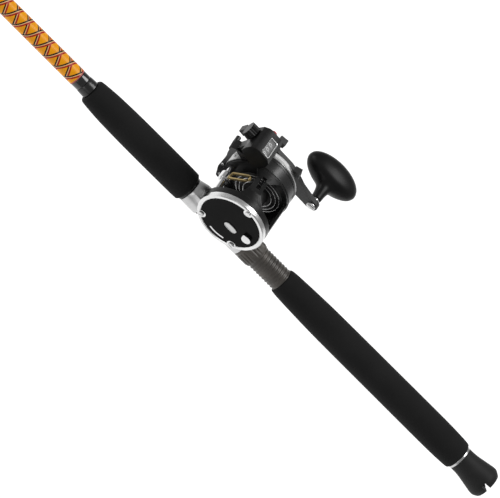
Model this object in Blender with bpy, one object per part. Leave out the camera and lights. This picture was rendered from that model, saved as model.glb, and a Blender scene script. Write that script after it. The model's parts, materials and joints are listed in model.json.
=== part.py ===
"""Boat rod with a level-wind, line-counter reel, modelled as separate solids.

World frame: +Y runs along the rod to its tip, +Z points to the side that carries the reel and the
guides, and +X points to the crank's side.  The origin is on the rod's axis, at the end face of the
butt cap.  All the sizes below are millimetres, and the meshes are made in metres.

A 2-D outline across an axis is given as (u, v): (Y, Z) across X, and (Z, X) across Y.
"""

import math

import bmesh
import bpy
from mathutils import Vector

MM = 0.001
GAP = 0.3                                # clearance between pieces that touch
FINE, ROUND, COARSE = 32, 20, 12         # sides of large, usual and small round pieces

# Rod, from the butt to the tip
ROD_LENGTH = 1830.0
BLANK_START = 14.0
BLANK_RADIUS = 8.85
TIP_RADIUS = 1.7
TAPER_START = 600.0
BORE_END = 1200.0                        # the blank is a tube up to here, and solid beyond
BLANK_WALL = 3.2
SLEEVE_BORE = 9.15                       # inner radius of the pieces that sit on the blank
CAP_END = 40.7
CAP_FLOOR = 13.0
SLOT_WIDTH, SLOT_DEPTH = 5.0, 8.0        # crossed slots of the butt cap
BUTT_RING = (41.0, 43.2)
REAR_GRIP = (43.5, 301.0)
SEAT = (301.3, 434.0)
SEAT_RADIUS = 12.7
NUT = (336.0, 355.0)
REAR_HOOD = (355.3, 376.0)
FRONT_HOOD = (414.3, 434.0)
HOOD_BORE = 13.0
HOOD_SIDES = 40
SEAT_RING = (434.3, 436.5)
FORE_GRIP = (436.8, 577.4)
COLLAR = (577.7, 588.0)
WRAP = (597.2, 842.0)
# A guide's place along the rod, the radius of its ring's hole and the height of its centre
GUIDES = ((930.0, 10.0, 30.0), (1190.0, 7.5, 23.0), (1420.0, 6.0, 18.0), (1630.0, 5.0, 14.0))

# Reel: each place is (ahead, above) of the side plates' centre
REEL_Y, REEL_Z = 395.5, 52.0
SPOOL_AXIS = (-5.7, 0.0)
MODULE = 0.8                             # pitch diameter of a gear per tooth
MAIN_TEETH, PINION_TEETH, WORM_TEETH = 30, 9, 24
CRANK_BEARING = math.radians(9.8)        # direction from the spool's axis to the crank's axis
PLATE_RADIUS = 37.5
LEFT_PLATE = (-33.0, -27.5)
LEFT_RING = (-27.2, -20.2)
RIGHT_RING = (18.0, 20.3)
TRIM_PLATE = (20.6, 22.0)
HOUSING = (22.3, 33.0)
HOUSING_WALL = 1.3
SIDE_COVER = (33.3, 50.0)
SCREW_ANGLES = (90.0, -44.0, -131.0)
SCREW_CIRCLE = 32.5
FLANGE_RADIUS = 27.3
RING_OPENING = 27.8
WORM_RADIUS = 2.4
SHIELD_RADII = (2.8, 3.6)
KNOB_AXIS = (-62.2, -10.2)
COUNTER_X = (15.0, 44.5)
COUNTER_WALL = 1.6
WHEEL_AXIS = (30.6, 43.2)
WHEEL_RADIUS = 9.4
WHEEL_WIDTH, WHEEL_PITCH = 5.7, 6.1
WHEELS_START = 17.6
STAR_X = (52.6, 55.4)
STAR_POINTS, STAR_RADIUS = 5, 35.2
STAR_BEARING = math.radians(80.7)        # direction of the star's first point
ARM_X = (61.0, 66.0)

# Colour, roughness and metallic value of each finish
FINISHES = {
    "foam": ((0.012, 0.012, 0.013), 0.85, 0.0),
    "rubber": ((0.015, 0.015, 0.015), 0.6, 0.0),
    "black_gloss": ((0.008, 0.008, 0.009), 0.12, 0.0),
    "black_satin": ((0.02, 0.02, 0.022), 0.42, 0.3),
    "graphite": ((0.05, 0.045, 0.038), 0.45, 0.2),
    "silver": ((0.62, 0.62, 0.62), 0.28, 1.0),
    "chrome": ((0.8, 0.8, 0.8), 0.1, 1.0),
    "brass": ((0.55, 0.42, 0.2), 0.3, 1.0),
    "steel": ((0.5, 0.5, 0.5), 0.35, 1.0),
    "fibre": ((0.2, 0.16, 0.1), 0.8, 0.0),
    "thread": ((0.9, 0.5, 0.03), 0.3, 0.0),
    "white": ((0.75, 0.75, 0.75), 0.4, 0.0),
    "clear": ((0.8, 0.85, 0.88), 0.05, 0.0),
    "red": ((0.6, 0.02, 0.03), 0.35, 0.0),
}


# Places and outlines

def at(place):
    """Turns (ahead, above) of the reel's centre into world (Y, Z)."""
    return REEL_Y + place[0], REEL_Z + place[1]


def on_circle(centre, radius, angle):
    """Gives the point of a circle at an angle in radians."""
    return centre[0] + radius * math.cos(angle), centre[1] + radius * math.sin(angle)


def polar(centre, sides, reach):
    """Gives a closed outline whose radius is reach(angle)."""
    steps = [2 * math.pi * i / sides for i in range(sides)]
    return [on_circle(centre, reach(angle), angle) for angle in steps]


def circle(centre, radius, sides=ROUND):
    """Gives a round outline."""
    return polar(centre, sides, lambda angle: radius)


def arc(centre, radius, first, last, count):
    """Gives count points along an arc, with its ends at the angles first and last in degrees."""
    steps = [math.radians(first + (last - first) * i / (count - 1)) for i in range(count)]
    return [on_circle(centre, radius, angle) for angle in steps]


def sector(centre, inner, outer, first, last, count=9):
    """Gives the outline of a part of a ring."""
    return arc(centre, inner, first, last, count) + arc(centre, outer, last, first, count)


def hull(points):
    """Gives the convex outline round a set of points."""
    ordered = sorted(set(points))

    def half(source):
        kept = []
        for point in source:
            while len(kept) > 1 and turn(kept[-2], kept[-1], point) <= 0:
                kept.pop()
            kept.append(point)
        return kept[:-1]

    def turn(first, second, third):
        return ((second[0] - first[0]) * (third[1] - first[1])
                - (second[1] - first[1]) * (third[0] - first[0]))

    return half(ordered) + half(ordered[::-1])


def bar_outline(first, first_radius, second, second_radius, sides=24):
    """Gives the outline of a tapered bar with round ends."""
    return hull(circle(first, first_radius, sides) + circle(second, second_radius, sides))


def band(path, thickness):
    """Gives the outline of a band of even thickness that lies on the left of a path."""
    far = []
    for i, point in enumerate(path):
        before = Vector(path[max(i - 1, 0)])
        after = Vector(path[min(i + 1, len(path) - 1)])
        along = (after - before).normalized()
        far.append((point[0] - along.y * thickness, point[1] + along.x * thickness))
    return list(path) + far[::-1]


def smooth(value):
    """Eases a value from 0 to 1."""
    value = min(max(value, 0.0), 1.0)
    return value * value * (3 - 2 * value)


# Meshes

def directions(axis):
    """Gives the direction along an axis and the two directions across it."""
    along = {"X": Vector((1, 0, 0)), "Y": Vector((0, 1, 0)), "Z": Vector((0, 0, 1))}[axis]
    first = {"X": Vector((0, 1, 0)), "Y": Vector((0, 0, 1)), "Z": Vector((1, 0, 0))}[axis]
    return along, first, along.cross(first)


def place_outline(axis, outline, position):
    """Puts a 2-D outline at a position along an axis."""
    along, first, second = directions(axis)
    return [along * position + first * u + second * v for u, v in outline]


def skin(rings, loop=False):
    """Makes a closed surface through rings of points; a ring of one point is a pole.

    A loop joins its last ring to its first, which leaves a hole through the piece.
    """
    mesh = bmesh.new()
    rows = [[mesh.verts.new(point) for point in ring] for ring in rings]
    pairs = list(zip(rows, rows[1:]))
    if loop:
        pairs.append((rows[-1], rows[0]))
    for first, second in pairs:
        count = max(len(first), len(second))
        for i in range(count):
            j = (i + 1) % count
            corners = [first[i % len(first)], first[j % len(first)],
                       second[j % len(second)], second[i % len(second)]]
            mesh.faces.new(list(dict.fromkeys(corners)))
    if not loop:
        for row in (rows[0], rows[-1]):
            if len(row) > 2:
                mesh.faces.new(row)
    bmesh.ops.recalc_face_normals(mesh, faces=mesh.faces)
    return mesh


def prism(axis, outline, start, end):
    """Extrudes an outline along an axis."""
    return skin([place_outline(axis, outline, start), place_outline(axis, outline, end)])


def tube(axis, outer, inner, start, end):
    """Extrudes the space between two outlines that have as many points as each other."""
    rings = [(outer, start), (outer, end), (inner, end), (inner, start)]
    return skin([place_outline(axis, outline, position) for outline, position in rings], loop=True)


def turned(axis, centre, profile, sides=ROUND):
    """Turns a profile of (position, radius) points round an axis through centre.

    A profile whose ends are both on the axis gives a solid; any other closes on itself round a bore.
    """
    rings = []
    for position, radius in profile:
        outline = circle(centre, radius, sides) if radius > 0 else [centre]
        rings.append(place_outline(axis, outline, position))
    solid_body = profile[0][1] == 0 and profile[-1][1] == 0
    return skin(rings, loop=not solid_body)


def sleeve(axis, centre, bore, outer, sides=ROUND):
    """Turns a tube with a straight bore round its outer profile."""
    profile = list(outer) + [(outer[-1][0], bore), (outer[0][0], bore)]
    return turned(axis, centre, profile, sides)


def disc(axis, centre, radius, start, end, bore=0.0, sides=ROUND):
    """Makes a cylinder, or a washer if it has a bore."""
    if bore:
        return sleeve(axis, centre, bore, [(start, radius), (end, radius)], sides)
    return prism(axis, circle(centre, radius, sides), start, end)


def block(x_range, y_range, z_range):
    """Makes a box from its ranges."""
    corners = [(y_range[0], z_range[0]), (y_range[1], z_range[0]),
               (y_range[1], z_range[1]), (y_range[0], z_range[1])]
    return prism("X", corners, *x_range)


def gear_outline(centre, teeth, phase):
    """Gives a gear's outline, with stub teeth; a tooth is centred at the angle phase."""
    pitch = teeth * MODULE / 2
    step = 2 * math.pi / teeth
    corners = ((-0.5, pitch - 0.9), (-0.12, pitch + GAP), (0.12, pitch + GAP))
    return [on_circle(centre, radius, phase + (tooth + part) * step)
            for tooth in range(teeth) for part, radius in corners]


def gear(centre, teeth, phase, bore, start, end):
    """Makes a spur gear across X."""
    hole = [on_circle(centre, bore, phase + 2 * math.pi * (i - 1) / (3 * teeth))
            for i in range(3 * teeth)]
    return tube("X", gear_outline(centre, teeth, phase), hole, start, end)


def meshed_phase(centre, teeth, phase, other, other_teeth):
    """Gives the phase that sets the other gear's teeth between this gear's."""
    line = math.atan2(other[1] - centre[1], other[0] - centre[0])
    turned_by = teeth / other_teeth * (phase - line)
    return line + math.pi - turned_by - math.pi / other_teeth


# Objects

def make_object(name, mesh, pivot=(0.0, 0.0, 0.0)):
    """Turns a mesh in millimetres into an object whose origin is at pivot."""
    bmesh.ops.translate(mesh, verts=mesh.verts, vec=-Vector(pivot))
    bmesh.ops.scale(mesh, verts=mesh.verts, vec=(MM, MM, MM))
    data = bpy.data.meshes.new(name)
    mesh.to_mesh(data)
    mesh.free()
    piece = bpy.data.objects.new(name, data)
    piece.location = Vector(pivot) * MM
    bpy.context.scene.collection.objects.link(piece)
    return piece


def add_piece(name, mesh, finish, pivot=(0.0, 0.0, 0.0)):
    """Adds one sub-part, with its own material in the finish's colour."""
    piece = make_object(name, mesh, pivot)
    piece.data.shade_smooth()
    piece.data.set_sharp_from_angle(angle=math.radians(35))
    colour, roughness, metallic = FINISHES[finish]
    material = bpy.data.materials.new(name)
    material.use_nodes = True
    shader = material.node_tree.nodes["Principled BSDF"]
    shader.inputs["Base Color"].default_value = (*colour, 1.0)
    shader.inputs["Roughness"].default_value = roughness
    shader.inputs["Metallic"].default_value = metallic
    piece.data.materials.append(material)
    return piece


def shape_with(piece, operation, *tools):
    """Joins tool meshes to a piece, or cuts them out of it."""
    for i, mesh in enumerate(tools):
        tool = make_object(f"{piece.name}_{operation.lower()}_{i}", mesh)
        tool.hide_render = True
        tool.display_type = "WIRE"
        change = piece.modifiers.new(tool.name, "BOOLEAN")
        change.operation = operation
        change.object = tool


def add_to(piece, *tools):
    """Joins tool meshes to a piece."""
    shape_with(piece, "UNION", *tools)


def cut_from(piece, *tools):
    """Cuts tool meshes out of a piece."""
    shape_with(piece, "DIFFERENCE", *tools)


# Rod

ROD = (0.0, 0.0)
SPOOL = at(SPOOL_AXIS)
CRANK = on_circle(SPOOL, MODULE * (MAIN_TEETH + PINION_TEETH) / 2, CRANK_BEARING)
WORM_REACH = MODULE * (MAIN_TEETH + WORM_TEETH) / 2
WORM = (CRANK[0] + math.sqrt(WORM_REACH ** 2 - (CRANK[1] - REEL_Z) ** 2), REEL_Z)
CENTRE = at((0.0, 0.0))
KNOB = at(KNOB_AXIS)


def blank_radius(y):
    """Gives the blank's radius, which falls towards the tip."""
    share = max(y - TAPER_START, 0.0) / (ROD_LENGTH - TAPER_START)
    return TIP_RADIUS + (BLANK_RADIUS - TIP_RADIUS) * (1 - share ** 1.5)


def add_blank():
    """The tapered blank: a tube in the handle, solid towards the tip."""
    stations = [BLANK_START, TAPER_START, 720.0, 850.0, 1020.0, 1200.0, 1500.0, ROD_LENGTH]
    outer = [(y, blank_radius(y)) for y in stations]
    inner = [(BORE_END, blank_radius(BORE_END) - BLANK_WALL), (TAPER_START, BLANK_RADIUS - BLANK_WALL),
             (BLANK_START, BLANK_RADIUS - BLANK_WALL)]
    add_piece("rod_blank", turned("Y", ROD, [(BORE_END, 0.0), *inner, *outer, (ROD_LENGTH, 0.0)], COARSE),
              "black_gloss")


def add_handle():
    """The butt cap, the two foam grips and the trim between them."""
    cap = [(0.0, 14.0), (1.2, 15.6), (5.0, 17.4), (9.0, 17.5), (18.0, 15.9), (27.0, 14.3),
           (33.0, 13.6), (CAP_END, 13.5)]
    profile = [(0.0, 0.0), *cap, (CAP_END, SLEEVE_BORE), (CAP_FLOOR, SLEEVE_BORE), (CAP_FLOOR, 0.0)]
    butt = add_piece("butt_cap", turned("Y", ROD, profile), "rubber")
    half, reach = SLOT_WIDTH / 2, 20.0
    for turn in (1, -1):
        bar = [(-reach, -half), (reach, -half), (reach, half), (-reach, half)]
        slot = [((u - turn * v) / math.sqrt(2), (turn * u + v) / math.sqrt(2)) for u, v in bar]
        cut_from(butt, prism("Y", slot, -1.0, SLOT_DEPTH))
    for name, span, finish in (("butt_ring", BUTT_RING, "silver"), ("seat_ring", SEAT_RING, "black_gloss")):
        add_piece(name, disc("Y", ROD, 14.0, *span, bore=SLEEVE_BORE), finish)
    rear = [(REAR_GRIP[0], 14.2), (46.0, 16.0), (60.0, 16.9), (85.0, 17.3), (225.0, 17.1), (257.0, 16.6),
            (290.0, 15.4), (REAR_GRIP[1], 14.0)]
    add_piece("rear_grip", sleeve("Y", ROD, SLEEVE_BORE, rear), "foam")
    fore = [(FORE_GRIP[0], 15.2), (440.0, 16.6), (464.0, 16.9), (514.0, 16.9), (546.0, 16.3), (562.0, 15.45),
            (575.2, 13.9), (FORE_GRIP[1], 12.2)]
    add_piece("fore_grip", sleeve("Y", ROD, SLEEVE_BORE, fore), "foam")
    collar = [(COLLAR[0], 9.7), (586.0, 10.4), (COLLAR[1], 10.1)]
    add_piece("check_collar", sleeve("Y", ROD, SLEEVE_BORE, collar), "black_gloss")
    stations = [WRAP[0], 720.0, WRAP[1]]
    rings = [(y, blank_radius(y) + 0.75) for y in stations]
    rings += [(y, blank_radius(y) + 0.25) for y in reversed(stations)]
    add_piece("wrap_sleeve", turned("Y", ROD, rings), "thread")


def hood_outline(base, rise, narrow, wide):
    """Gives a ring's outline with a flat-topped rise over the reel's foot.

    The rise is full inside the angle narrow and gone outside the angle wide, both in degrees.
    """
    def reach(angle):
        off_top = abs(math.degrees(math.atan2(math.sin(angle), math.cos(angle))))
        return base + rise * smooth((wide - off_top) / (wide - narrow))
    return polar(ROD, HOOD_SIDES, reach)


def add_seat():
    """The threaded seat, its lock nut and the two hoods that hold the reel's foot."""
    add_piece("seat_barrel", disc("Y", ROD, SEAT_RADIUS, *SEAT, bore=SLEEVE_BORE), "graphite")
    nut_sides = 40
    ribs = [on_circle(ROD, 14.4 if i % 2 else 13.8, 2 * math.pi * i / nut_sides) for i in range(nut_sides)]
    bore = circle(ROD, HOOD_BORE, nut_sides)
    add_piece("lock_nut", tube("Y", ribs, bore, *NUT), "graphite")

    def hood(name, outer, inner, finish="silver"):
        rings = [place_outline("Y", hood_outline(base, rise, 36.0, 52.0), y) for y, base, rise in outer]
        rings += [place_outline("Y", hood_outline(base, rise, 37.0, 45.0), y) for y, base, rise in inner]
        add_piece(name, skin(rings, loop=True), finish)

    pocket = 2.5
    hood("sliding_hood",
         [(REAR_HOOD[0], 14.4, 0.3), (360.0, 14.7, 1.6), (364.0, 14.8, 2.3), (REAR_HOOD[1], 14.8, 2.4)],
         [(REAR_HOOD[1], HOOD_BORE, pocket), (362.7, HOOD_BORE, pocket), (361.0, HOOD_BORE, 0.0),
          (REAR_HOOD[0], HOOD_BORE, 0.0)])
    hood("fixed_hood",
         [(FRONT_HOOD[0], 14.2, 3.0), (424.0, 14.2, 3.0), (430.0, 14.1, 1.6), (FRONT_HOOD[1], 14.0, 0.0)],
         [(FRONT_HOOD[1], HOOD_BORE, 0.0), (427.0, HOOD_BORE, 0.0), (424.6, HOOD_BORE, pocket),
          (FRONT_HOOD[0], HOOD_BORE, pocket)])


def add_guides():
    """The line guides on the blank and the tip-top, with their ring inserts."""
    frame_wall, insert_wall = 1.6, 1.2
    for number, (y, hole, height) in enumerate(GUIDES, 1):
        centre = (blank_radius(y) + height, 0.0)
        ring_bore = hole + insert_wall + GAP
        ring_radius = ring_bore + frame_wall
        foot = blank_radius(y) + GAP
        under = centre[0] - ring_radius + 0.4
        reach = 0.75 * height
        strap = band([(y + reach + 14, foot), (y + reach, foot), (y + 1.6, under),
                      (y - 1.6, under), (y - reach, foot), (y - reach - 14, foot)], -1.3)
        frame = add_piece(f"guide_frame_{number}", prism("X", strap, -2.2, 2.2), "steel")
        add_to(frame, disc("Y", centre, ring_radius, y - 1.4, y + 1.4, sides=20))
        cut_from(frame, disc("Y", centre, ring_bore, y - 9, y + 9, sides=20))
        lip = [(y - 2.0, ring_bore - 0.7), (y - 1.0, ring_bore - GAP), (y + 1.0, ring_bore - GAP),
               (y + 2.0, ring_bore - 0.7)]
        add_piece(f"guide_ring_{number}", sleeve("Y", centre, hole, lip, 20), "black_gloss")
    top = (8.0, 0.0)
    tip = add_piece("tip_top", disc("Y", ROD, 2.9, ROD_LENGTH - 16, ROD_LENGTH + 3, sides=16), "steel")
    cut_from(tip, disc("Y", ROD, blank_radius(ROD_LENGTH - 16) + GAP, ROD_LENGTH - 17, ROD_LENGTH + 0.5,
                       sides=16))
    add_to(tip, disc("Y", top, 6.0, ROD_LENGTH, ROD_LENGTH + 2.6, sides=20))
    cut_from(tip, disc("Y", top, 3.9, ROD_LENGTH - 1, ROD_LENGTH + 4, sides=20))


# Reel

def add_foot():
    """The curved foot that the hoods clamp, with the pad that carries the frame."""
    curve = [(math.cos(math.radians(a)), math.sin(math.radians(a))) for a in range(-32, 33, 8)]
    outline = [(13.0 * u, 13.0 * v) for u, v in curve] + [(15.2 * u, 15.2 * v) for u, v in curve[::-1]]
    foot = add_piece("reel_foot", prism("Y", outline, 363.0, 424.0), "chrome")
    add_to(foot, block((-8.0, 8.0), (380.0, 408.0), (14.2, 17.5)))


def add_frame():
    """The one-piece frame: two rings, a base, a thumb bar with flared ends and a rear bar."""
    frame = add_piece("reel_frame", disc("X", CENTRE, PLATE_RADIUS, *LEFT_RING, sides=FINE), "black_satin")
    thumb = [at(place) for place in ((2.0, 37.0), (15.0, 33.8), (14.2, 31.2), (1.6, 34.2))]
    rear = sector(CENTRE, 34.4, 37.2, 152.0, 212.0)
    overlap = (LEFT_RING[1] - 1.0, RIGHT_RING[0] + 1.0)
    add_to(frame, disc("X", CENTRE, PLATE_RADIUS, *RIGHT_RING, sides=FINE),
           block(overlap, (382.0, 409.0), (17.8, 20.6)),
           prism("X", thumb, *overlap), prism("X", rear, *overlap))
    for stations in ((LEFT_RING[1] - 1.0, -15.0, -10.0), (RIGHT_RING[0] + 1.0, 12.5, 7.5)):
        spans = zip(stations, ((56.0, 107.0), (62.0, 96.0), (66.0, 89.0)))
        add_to(frame, skin([place_outline("X", sector(CENTRE, 35.2, 37.2, *span), x) for x, span in spans]))
    through = (LEFT_RING[0] - 1.0, RIGHT_RING[1] + 1.0)
    for span in ((LEFT_RING[0] - 1, LEFT_RING[1] + 0.5), (RIGHT_RING[0] - 0.5, RIGHT_RING[1] + 1)):
        cut_from(frame, disc("X", SPOOL, RING_OPENING, *span, sides=FINE))
    window_y, window_z = at((5.4, 28.0)), at((10.2, 40.0))
    cut_from(frame, block((-5.0, 11.0), (window_y[0], window_z[0]), (window_y[1], window_z[1])),
             disc("X", WORM, SHIELD_RADII[1] + GAP, *through, sides=COARSE))
    for angle in SCREW_ANGLES:
        screw = on_circle(CENTRE, SCREW_CIRCLE, math.radians(angle))
        cut_from(frame, disc("X", screw, 1.6, LEFT_RING[0] - 1, LEFT_RING[1] + 1, sides=12))


def add_left_side():
    """The left plate with its bezel, screws, badge and clicker button."""
    screws = [on_circle(CENTRE, SCREW_CIRCLE, math.radians(angle)) for angle in SCREW_ANGLES]
    plate = add_piece("left_side_plate", disc("X", CENTRE, 33.0, LEFT_PLATE[0] + 0.6, LEFT_PLATE[1],
                                              sides=FINE), "black_satin")
    add_to(plate, disc("X", SPOOL, 7.2, LEFT_PLATE[1] - 1, -23.4, sides=COARSE))
    cut_from(plate, disc("X", SPOOL, 5.4, LEFT_PLATE[1] - 1.2, -22.0, sides=COARSE))
    cut_from(plate, *[disc("X", screw, 5.6, LEFT_PLATE[0] - 1, LEFT_PLATE[1] + 1, sides=24)
                      for screw in screws])
    slot = at((-23.4, 1.2))
    cut_from(plate, block((LEFT_PLATE[0] - 1, LEFT_PLATE[1] + 1), (slot[0] - 1.8, slot[0] + 1.8),
                          (slot[1] - 4.2, slot[1] + 4.2)))
    ring = [(LEFT_PLATE[0] + 0.5, 33.4), (LEFT_PLATE[0], 34.0), (LEFT_PLATE[0], 36.6),
            (LEFT_PLATE[0] + 1.0, PLATE_RADIUS), (LEFT_PLATE[1], PLATE_RADIUS)]
    bezel = add_piece("left_bezel", sleeve("X", CENTRE, 33.3, ring, FINE), "silver")
    add_to(bezel, *[disc("X", screw, 5.0, LEFT_PLATE[0] + 0.3, LEFT_PLATE[1] - 0.2, sides=24)
                    for screw in screws])
    cut_from(bezel, *[disc("X", screw, 1.6, LEFT_PLATE[0] - 1, LEFT_PLATE[1] + 1, sides=12)
                      for screw in screws])
    for number, screw in enumerate(screws, 1):
        head = [(-34.8, 0.0), (-34.8, 1.8), (-34.3, 2.8), (-33.3, 3.0), (-33.3, 1.3), (-21.5, 1.3),
                (-21.5, 0.0)]
        add_piece(f"plate_screw_{number}", turned("X", screw, head, 16), "silver")
    badge = at((-4.0, -5.0))
    oval = polar(badge, 24, lambda angle: 1 / math.hypot(math.cos(angle) / 7.6, math.sin(angle) / 4.0))
    add_piece("side_badge", prism("X", oval, LEFT_PLATE[0] - 0.3, LEFT_PLATE[0] + 0.3), "silver")
    head = bar_outline(slot, 5.2, (slot[0] + 4.5, slot[1] + 2.6), 1.6, COARSE)
    pivot = (LEFT_PLATE[0], *slot)
    button = add_piece("clicker_button", prism("X", head, -35.0, LEFT_PLATE[0] + 0.3), "silver", pivot)
    add_to(button, disc("X", slot, 1.4, LEFT_PLATE[0], LEFT_PLATE[1] + 1.5, sides=12))


def add_spool():
    """The spool on its shaft, between its two bearings."""
    pivot = (0.0, *SPOOL)
    profile = [(-22.4, FLANGE_RADIUS - 0.8), (-21.6, FLANGE_RADIUS), (-20.4, FLANGE_RADIUS), (-19.4, 25.0),
               (-17.8, 11.5), (16.0, 11.5), (17.4, 25.0), (18.2, FLANGE_RADIUS), (19.4, FLANGE_RADIUS),
               (20.0, FLANGE_RADIUS - 0.8)]
    add_piece("spool", sleeve("X", SPOOL, 3.3, profile, FINE), "black_satin", pivot)
    shaft = [(-26.8, 0.0), (-26.8, 3.0), (21.0, 3.0), (21.6, 1.6), (33.0, 1.6), (33.0, 0.0)]
    add_piece("spool_shaft", turned("X", SPOOL, shaft, COARSE), "steel", pivot)
    add_piece("left_bearing", disc("X", SPOOL, 5.1, -26.6, -23.6, bore=3.3, sides=COARSE), "steel")
    add_piece("right_bearing", disc("X", SPOOL, 4.6, 30.8, 32.9, bore=1.9, sides=COARSE), "steel")


def add_gears():
    """The drive gear on the crank, the spool's pinion and the gear of the level wind."""
    span = (24.0, 27.4)
    main_phase = 0.0
    pinion = meshed_phase(CRANK, MAIN_TEETH, main_phase, SPOOL, PINION_TEETH)
    worm = meshed_phase(CRANK, MAIN_TEETH, main_phase, WORM, WORM_TEETH)
    add_piece("drive_gear", gear(CRANK, MAIN_TEETH, main_phase, 3.1, *span), "brass", (0.0, *CRANK))
    add_piece("spool_pinion", gear(SPOOL, PINION_TEETH, pinion, 1.9, *span), "steel", (0.0, *SPOOL))
    add_piece("worm_gear", gear(WORM, WORM_TEETH, worm, 1.9, *span), "white", (0.0, *WORM))
    add_piece("drag_washer", disc("X", CRANK, 10.5, 27.7, 28.9, bore=3.1), "fibre", (0.0, *CRANK))
    add_piece("drag_plate", disc("X", CRANK, 10.5, 29.2, 30.6, bore=3.1), "steel", (0.0, *CRANK))


def add_level_wind():
    """The crossed-groove worm in its slotted shield, the carriage and its line guide."""
    pivot = (0.0, *WORM)
    shaft = [(-26.6, 0.0), (-26.6, 1.6), (-20.0, 1.6), (-20.0, WORM_RADIUS), (17.8, WORM_RADIUS),
             (17.8, 1.6), (29.0, 1.6), (29.0, 0.0)]
    add_piece("worm_shaft", turned("X", WORM, shaft, COARSE), "steel", pivot)
    shield = sector(WORM, *SHIELD_RADII, -60.0, 240.0, 17)
    add_piece("worm_shield", prism("X", shield, -26.4, 20.0), "chrome")
    middle, half = 3.0, 4.2
    carriage = add_piece("line_carriage", disc("X", WORM, 6.4, middle - half, middle + half, bore=3.9,
                                               sides=24), "chrome", (middle, *WORM))
    stem = (WORM[0] - 1.2, WORM[1] + 7.2)
    add_to(carriage, block((middle - 3.4, middle + 3.4), (stem[0] - 2.2, stem[0] + 2.2),
                           (stem[1] - 2.6, stem[1])))
    lean = math.radians(33)
    inner_half, wire, tall = 2.9, 1.5, 26.0
    turns, flattening = 8, 0.4
    loops = []
    for extra in (wire, 0.0):
        half_width = inner_half + extra
        low = [(half_width * math.cos(a), -half_width * flattening * math.sin(a))
               for a in (math.pi - math.pi * i / turns for i in range(turns + 1))]
        high = [(half_width * math.cos(a), tall - 2 * half_width + half_width * 0.8 * math.sin(a))
                for a in (math.pi * i / turns for i in range(turns + 1))]
        loops.append(low + high)
    base = Vector((middle, stem[0], stem[1] + GAP + (inner_half + wire) * flattening))
    up = Vector((0.0, -math.sin(lean), math.cos(lean)))
    through = Vector((0.0, math.cos(lean), math.sin(lean))) * 1.3
    rings = []
    for loop, side in ((loops[0], -1), (loops[0], 1), (loops[1], 1), (loops[1], -1)):
        rings.append([base + Vector((1, 0, 0)) * u + up * (v + 0.9) + through * side for u, v in loop])
    add_piece("line_guide_loop", skin(rings, loop=True), "brass", (middle, *WORM))


def nose_outline(grow=0.0):
    """Gives the gear case's outline: a round drum with a nose over the level wind's gear.

    Args:
        grow: How far the outline is moved out, or in where it is negative.
    """
    drum = arc(CENTRE, PLATE_RADIUS - 0.2 + grow, 62.0, 296.0, 27)
    nose = [at(place) for place in ((22.0, -33.2), (31.6, -31.0), (38.6, -17.8), (43.3, 2.5), (47.0, 9.8),
                                    (49.8, 18.6), (45.5, 21.6), (33.0, 26.4), (21.0, 30.4))]
    middle = Vector(at((20.0, 0.0)))
    moved = []
    for point in nose:
        out = (Vector(point) - middle).normalized() * grow
        moved.append((point[0] + out.x, point[1] + out.y))
    return drum + moved


def add_right_side():
    """The trim plate, the gear case, the side cover and the free-spool lever."""
    trim = add_piece("trim_plate", prism("X", nose_outline(0.7), *TRIM_PLATE), "silver")
    cut_from(trim, disc("X", SPOOL, RING_OPENING, TRIM_PLATE[0] - 1, TRIM_PLATE[1] + 1),
             disc("X", WORM, 4.2, TRIM_PLATE[0] - 1, TRIM_PLATE[1] + 1, sides=COARSE))
    case = add_piece("gear_case", prism("X", nose_outline(), *HOUSING), "black_satin")
    cut_from(case, prism("X", nose_outline(-HOUSING_WALL), HOUSING[0] - 1, HOUSING[1] - HOUSING_WALL),
             disc("X", SPOOL, 4.9, HOUSING[1] - 3, HOUSING[1] + 1, sides=COARSE),
             disc("X", CRANK, 3.2, HOUSING[1] - 3, HOUSING[1] + 1, sides=COARSE))
    outer = [(50.0, 0.0), (50.0, 27.6), (49.2, 29.0), (42.0, 33.0), (39.4, 34.4), (38.6, 36.6),
             (37.6, PLATE_RADIUS), (SIDE_COVER[0], PLATE_RADIUS)]
    inner = [(SIDE_COVER[0], 35.9), (38.0, 33.8), (48.2, 27.4), (48.2, 0.0)]
    cover = add_piece("side_cover", turned("X", CENTRE, outer + inner, FINE), "silver")
    cut_from(cover, disc("X", CRANK, 3.2, 47.0, 51.0, sides=COARSE))
    pivot = at((42.2, 0.5))
    lever = bar_outline(pivot, 4.0, at((47.5, 12.5)), 2.8, COARSE)
    tongue = add_piece("free_spool_lever", prism("X", lever, 33.3, 36.0), "black_satin", (HOUSING[1], *pivot))
    add_to(tongue, disc("X", pivot, 1.5, 32.0, 34.0, sides=COARSE),
           disc("X", at((47.5, 12.5)), 2.8, 35.0, 41.0, sides=COARSE))
    cut_from(case, disc("X", pivot, 1.9, HOUSING[1] - 3, HOUSING[1] + 1, sides=COARSE))


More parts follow.
